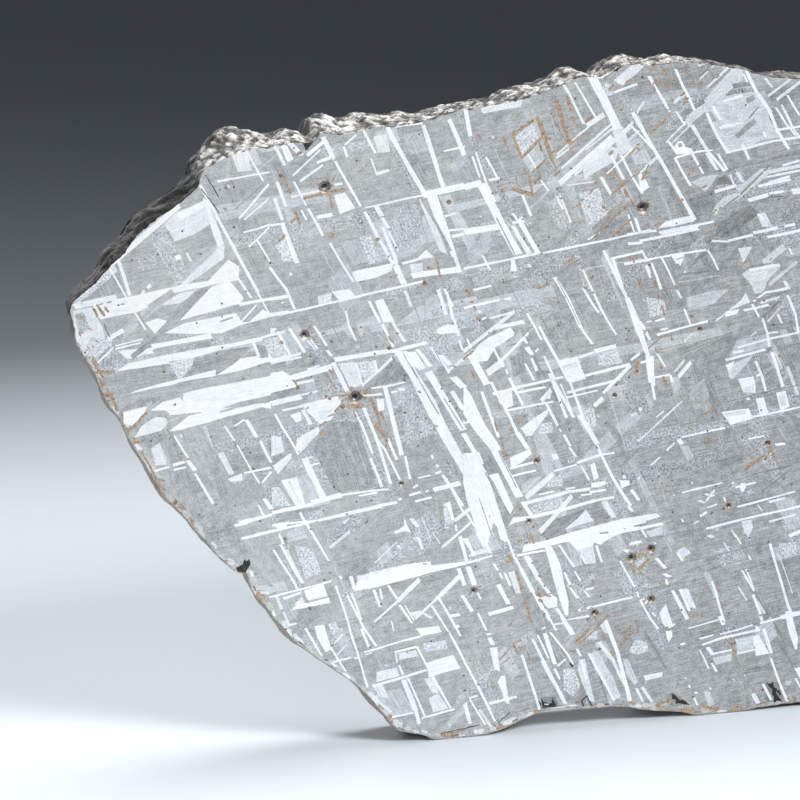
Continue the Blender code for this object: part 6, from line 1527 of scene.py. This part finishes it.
class Shader:
    """A material's node tree, built by short calls that each return an output socket."""

    def __init__(self, name):
        self.material = bpy.data.materials.new(name)
        self.material.use_nodes = True
        self.tree = self.material.node_tree
        self.surface = self.tree.nodes["Principled BSDF"]

    def node(self, kind, inputs=None, **settings):
        node = self.tree.nodes.new(kind)
        for key, value in settings.items():
            setattr(node, key, value)
        for key, value in (inputs or {}).items():
            self.feed(node.inputs[key], value)
        return node

    def feed(self, socket, value):
        if isinstance(value, bpy.types.NodeSocket):
            self.tree.links.new(value, socket)
        else:
            socket.default_value = value

    def math(self, operation, first, second=0.0, third=0.0, clamp=False):
        inputs = {0: first, 1: second, 2: third}
        return self.node("ShaderNodeMath", inputs, operation=operation, use_clamp=clamp).outputs[0]

    def vector(self, operation, first, second):
        output = "Value" if operation == "DOT_PRODUCT" else "Vector"
        return self.node("ShaderNodeVectorMath", {0: first, 1: second}, operation=operation).outputs[output]

    def mark(self, name, output="Fac"):
        return self.node("ShaderNodeAttribute", attribute_name=name).outputs[output]

    def place(self):
        """Where the point is on the object, in millimetres."""
        coordinates = self.node("ShaderNodeTexCoord").outputs["Object"]
        return self.vector("MULTIPLY", coordinates, (1 / MM, 1 / MM, 1 / MM))

    def noise(self, vector, scale, detail=2.0, roughness=0.5):
        inputs = {"Vector": vector, "Scale": scale, "Detail": detail, "Roughness": roughness}
        return self.node("ShaderNodeTexNoise", inputs).outputs["Fac"]

    def cells(self, vector, scale):
        """Distance to the nearest of some scattered points, and a random colour for each of them."""
        node = self.node("ShaderNodeTexVoronoi", {"Vector": vector, "Scale": scale})
        return node.outputs["Distance"], node.outputs["Color"]

    def ramp(self, value, stops):
        node = self.node("ShaderNodeValToRGB", {"Fac": value})
        elements = node.color_ramp.elements
        while len(elements) < len(stops):
            elements.new(1.0)
        for element, (position, colour) in zip(elements, stops):
            element.position = position
            element.color = colour
        return node.outputs["Color"]

    def step(self, value, low, high):
        """0 where the value is below low, 1 above high, and a slope between."""
        inputs = {"Value": value, "From Min": low, "From Max": high, "To Min": 0.0, "To Max": 1.0}
        return self.node("ShaderNodeMapRange", inputs).outputs["Result"]

    def swayed(self, value, wave, amount):
        """The value, moved up and down by this amount of a wave that runs from 0 to 1."""
        return self.math("MULTIPLY_ADD", self.math("SUBTRACT", wave, 0.5), amount, value)

    def mix(self, factor, first, second, blend_type="MIX"):
        node = self.node("ShaderNodeMix", data_type="RGBA", blend_type=blend_type)
        for index, value in ((0, factor), (6, first), (7, second)):
            self.feed(node.inputs[index], value)
        return node.outputs[2]

    def tinted(self, colour, tint, mask, share):
        """The colour, with this share of the tint over it where the mask is 1."""
        return self.mix(self.math("MULTIPLY", mask, share), colour, tint)

    def bump(self, height, distance, strength=1.0):
        inputs = {"Height": height, "Distance": distance, "Strength": strength}
        self.feed(self.surface.inputs["Normal"], self.node("ShaderNodeBump", inputs).outputs["Normal"])

    def set(self, **values):
        names = {
            "colour": "Base Color",
            "roughness": "Roughness",
            "metallic": "Metallic",
            "specular": "Specular IOR Level",
        }
        for key, value in values.items():
            self.feed(self.surface.inputs[names[key]], value)


def brushed_streaks(s, place):
    """Fine streaks along each plate's own direction."""
    lay = s.mark("lay", "Vector")
    along = s.vector("DOT_PRODUCT", place, lay)
    across = s.vector("DOT_PRODUCT", place, s.vector("CROSS_PRODUCT", lay, THROUGH))
    stretched = s.node("ShaderNodeCombineXYZ", {
        0: s.math("MULTIPLY", along, 0.22),
        1: s.math("MULTIPLY", across, 4.5),
    })
    return s.noise(stretched.outputs[0], 1.0, 3.0, 0.6)


def etched_iron():
    """The sawn, polished and acid-etched iron: bright plates and lines on grey ones, partly nickel-rich iron
    and partly painted sheen.
    """
    s = Shader("etched_iron")
    place = s.place()
    streaks = brushed_streaks(s, place)
    grain = s.noise(place, 3.2, 3.0, 0.7)
    clouds = s.noise(place, 0.09, 3.0, 0.55)
    # Each plate's tone is partly its own metal and partly painted sheen
    value = s.swayed(s.mark("tone"), streaks, 0.65)
    value = s.swayed(value, grain, s.math("MULTIPLY_ADD", s.mark("fleck"), 2.4, 0.3))
    value = s.swayed(value, s.noise(place, 0.8, 3.0), 0.45)
    value = s.swayed(value, clouds, 0.3)
    # Painted shade: the face is made darker towards the right, as if less light fell there
    painted_shade_to_right = s.step(s.vector("DOT_PRODUCT", place, ACROSS), -60.0, 30.0)
    value = s.math("MULTIPLY_ADD", painted_shade_to_right, -0.16, value)
    colour = s.ramp(s.math("MULTIPLY_ADD", value, 0.58, 0.375), (
        (0.0, srgb(24, 20, 18)),
        (0.25, srgb(72, 71, 70)),
        (0.45, srgb(143, 147, 151)),
        (0.6, srgb(183, 188, 192)),
        (0.73, srgb(208, 213, 218)),
        (0.88, srgb(231, 234, 238)),
        (1.0, srgb(246, 246, 245)),
    ))
    warmth = s.math("ADD", s.mark("warm"), s.math("MULTIPLY", s.step(clouds, 0.5, 0.75), 0.3), clamp=True)
    warmed = s.mix(1.0, colour, srgb(250, 240, 222), "MULTIPLY")
    colour = s.tinted(colour, warmed, warmth, 0.6)
    rust_colour = s.ramp(s.noise(place, 2.2, 3.0, 0.6), (
        (0.3, srgb(96, 66, 46)),
        (0.45, srgb(156, 120, 80)),
        (0.65, srgb(196, 168, 126)),
    ))
    rust = s.math("MULTIPLY", s.mark("rust"), s.step(s.noise(place, 3.4, 3.0, 0.65), 0.36, 0.56))
    colour = s.mix(rust, colour, rust_colour)
    distance, colours = s.cells(place, 0.5)
    chosen = s.step(s.vector("DOT_PRODUCT", colours, ACROSS), 0.36, 0.34)
    specks = s.math("MULTIPLY", chosen, s.step(distance, 0.1, 0.06))
    colour = s.mix(specks, colour, srgb(78, 44, 36))
    s.set(colour=colour, metallic=0.35, specular=0.5)
    s.set(roughness=s.math("MULTIPLY_ADD", streaks, 0.16, 0.4))
    s.bump(s.math("ADD", s.math("MULTIPLY", streaks, 0.4), s.math("MULTIPLY", grain, 0.6)), 0.04 * MM, 0.5)
    return s.material


def charcoal_crust(s, grit, blots):
    """The fusion crust: nearly black, and lighter grey where it stands out, as a painted highlight."""
    colour = s.ramp(s.math("MULTIPLY_ADD", grit, 0.7, s.math("MULTIPLY", blots, 0.3)), (
        (0.4, srgb(10, 9, 9)),
        (0.5, srgb(30, 29, 28)),
        (0.6, srgb(72, 71, 68)),
        (0.72, srgb(140, 138, 132)),
    ))
    # Painted highlight: the crust is made lighter grey where it stands high and its grit is coarse
    painted_ridge_highlight = s.math("MULTIPLY", s.step(s.mark("hollow"), 0.3, 0.0), s.step(grit, 0.44, 0.62))
    return s.tinted(colour, srgb(150, 147, 140), painted_ridge_highlight, 0.4)


def chalky_crust(s, place, grit, blots):
    """White grains with ochre blots and sooty stretches, darker towards the back."""
    crumbs = s.math("MULTIPLY_ADD", grit, 0.35, s.math("MULTIPLY", s.noise(place, 0.6, 4.0, 0.7), 0.65))
    colour = s.ramp(crumbs, (
        (0.36, srgb(40, 37, 35)),
        (0.43, srgb(118, 114, 108)),
        (0.49, srgb(196, 194, 190)),
        (0.59, srgb(246, 246, 244)),
    ))
    colour = s.tinted(colour, srgb(168, 128, 78), s.step(blots, 0.58, 0.72), 0.5)
    stretches = s.step(s.noise(place, 0.17, 3.0, 0.6), 0.48, 0.6)
    sooty = s.math("MULTIPLY", stretches, s.step(grit, 0.56, 0.44))
    colour = s.tinted(colour, srgb(84, 80, 75), sooty, 0.75)
    depth = s.vector("DOT_PRODUCT", place, THROUGH)
    far_side = s.step(s.math("MULTIPLY_ADD", blots, 3.0, depth), 2.2, 4.2)
    return s.tinted(colour, srgb(46, 44, 42), far_side, 0.75)


def ground_metal(s, grit, blots):
    """Pale worn metal with rusty blots."""
    colour = s.ramp(grit, (
        (0.2, srgb(96, 88, 80)),
        (0.45, srgb(166, 158, 148)),
        (0.7, srgb(212, 207, 198)),
    ))
    return s.tinted(colour, srgb(160, 116, 70), s.step(blots, 0.58, 0.75), 0.7)


def weathered_rind():
    """The outside of the stone: charcoal fusion crust, chalky granular crust, and pale ground metal, with
    painted shade in the hollows of its relief.
    """
    s = Shader("weathered_rind")
    place = s.place()
    grit = s.noise(place, 2.6, 5.0, 0.7)
    blots = s.noise(place, 0.7, 3.0, 0.6)
    colour = charcoal_crust(s, grit, blots)
    colour = s.mix(s.mark("chalky"), colour, chalky_crust(s, place, grit, blots))
    colour = s.mix(s.mark("bare"), colour, ground_metal(s, grit, blots))
    # Painted shade: the rind's hollows are made nearly black
    colour = s.tinted(colour, srgb(26, 23, 21), s.step(s.mark("hollow"), 0.2, 0.6), 0.85)
    s.set(colour=colour, metallic=0.05, specular=0.3)
    s.set(roughness=s.math("MULTIPLY_ADD", grit, 0.3, 0.52))
    s.bump(s.math("ADD", grit, s.math("MULTIPLY", s.noise(place, 6.0, 2.0), 0.4)), 0.3 * MM, 0.8)
    return s.material


# The studio: its places and sizes are in metres, and the lights' powers in watts

def make_object(name, data):
    """A new object of the scene that shows this mesh, lamp or camera."""
    made = bpy.data.objects.new(name, data)
    bpy.context.scene.collection.objects.link(made)
    return made


def stage_floor():
    """A plain pale table top, a hair below the slice."""
    s = Shader("pale_floor")
    s.set(colour=srgb(204, 211, 218), roughness=0.55, specular=0.2)
    shape = bmesh.new()
    bmesh.ops.create_grid(shape, x_segments=8, y_segments=8, size=FLOOR_REACH)
    mesh = bpy.data.meshes.new("floor")
    shape.to_mesh(mesh)
    shape.free()
    mesh.materials.append(s.material)
    floor = make_object("floor", mesh)
    floor.location.z = -0.02 * MM


def area_light(name, place, target, size, spread, power, colour=(1.0, 1.0, 1.0)):
    """A rectangular soft light that faces its target. The spread of its beam is in degrees."""
    data = bpy.data.lights.new(name, "AREA")
    data.shape = "RECTANGLE"
    data.size, data.size_y = size
    data.spread = radians(spread)
    data.energy = power
    data.color = colour
    lamp = make_object(name, data)
    lamp.location = place
    lamp.rotation_euler = (Vector(target) - Vector(place)).to_track_quat("-Z", "Y").to_euler()


def studio_lights():
    """Four soft lights on the middle of the slice's seen part, and a faint even light from all round."""
    middle = (-0.03, 0.0, 0.055)
    area_light("key", (0.27, -0.47, 0.5), middle, (0.24, 0.24), 80, 1.24)
    area_light("front_fill", (-0.5, -0.65, 0.3), middle, (0.5, 0.4), 80, 0.2, (0.98, 0.99, 1.0))
    area_light("top_soft", (-0.05, 0.08, 0.55), middle, (0.5, 0.2), 70, 0.5)
    area_light("back_soft", (-0.08, 0.45, 0.14), middle, (0.3, 0.16), 60, 0.14)
    world = bpy.data.worlds.new("studio")
    world.use_nodes = True
    background = world.node_tree.nodes["Background"]
    background.inputs["Color"].default_value = srgb(160, 166, 174)
    background.inputs["Strength"].default_value = 0.16
    bpy.context.scene.world = world


def studio_camera():
    """Looks at the slice from a little left and above, close enough to leave its right end out."""
    aim = Vector((-38.7, -HALF, 57.3)) * MM
    turn, lift, distance = radians(-17), radians(11), 0.464
    back = Vector((sin(turn) * cos(lift), -cos(turn) * cos(lift), sin(lift)))
    data = bpy.data.cameras.new("camera")
    data.sensor_width = 36.0
    data.lens = 130.5
    data.clip_start = 0.01
    camera = make_object("camera", data)
    camera.location = aim + back * distance
    camera.rotation_euler = back.to_track_quat("Z", "Y").to_euler()
    bpy.context.scene.camera = camera


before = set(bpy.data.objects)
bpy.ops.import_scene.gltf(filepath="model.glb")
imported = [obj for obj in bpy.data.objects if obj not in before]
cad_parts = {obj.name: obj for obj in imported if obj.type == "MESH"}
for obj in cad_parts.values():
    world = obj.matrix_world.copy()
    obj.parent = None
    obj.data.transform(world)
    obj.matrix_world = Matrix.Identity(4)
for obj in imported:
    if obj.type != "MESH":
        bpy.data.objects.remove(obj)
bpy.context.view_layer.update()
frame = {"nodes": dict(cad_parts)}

slice_object = make_object("etched_slice", slice_mesh(frame))
slice_object.data.materials.append(etched_iron())
slice_object.data.materials.append(weathered_rind())
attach(slice_object, "root")
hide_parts(NODE)

stage_floor()
studio_lights()
studio_camera()
bpy.context.scene.view_settings.view_transform = "Standard"
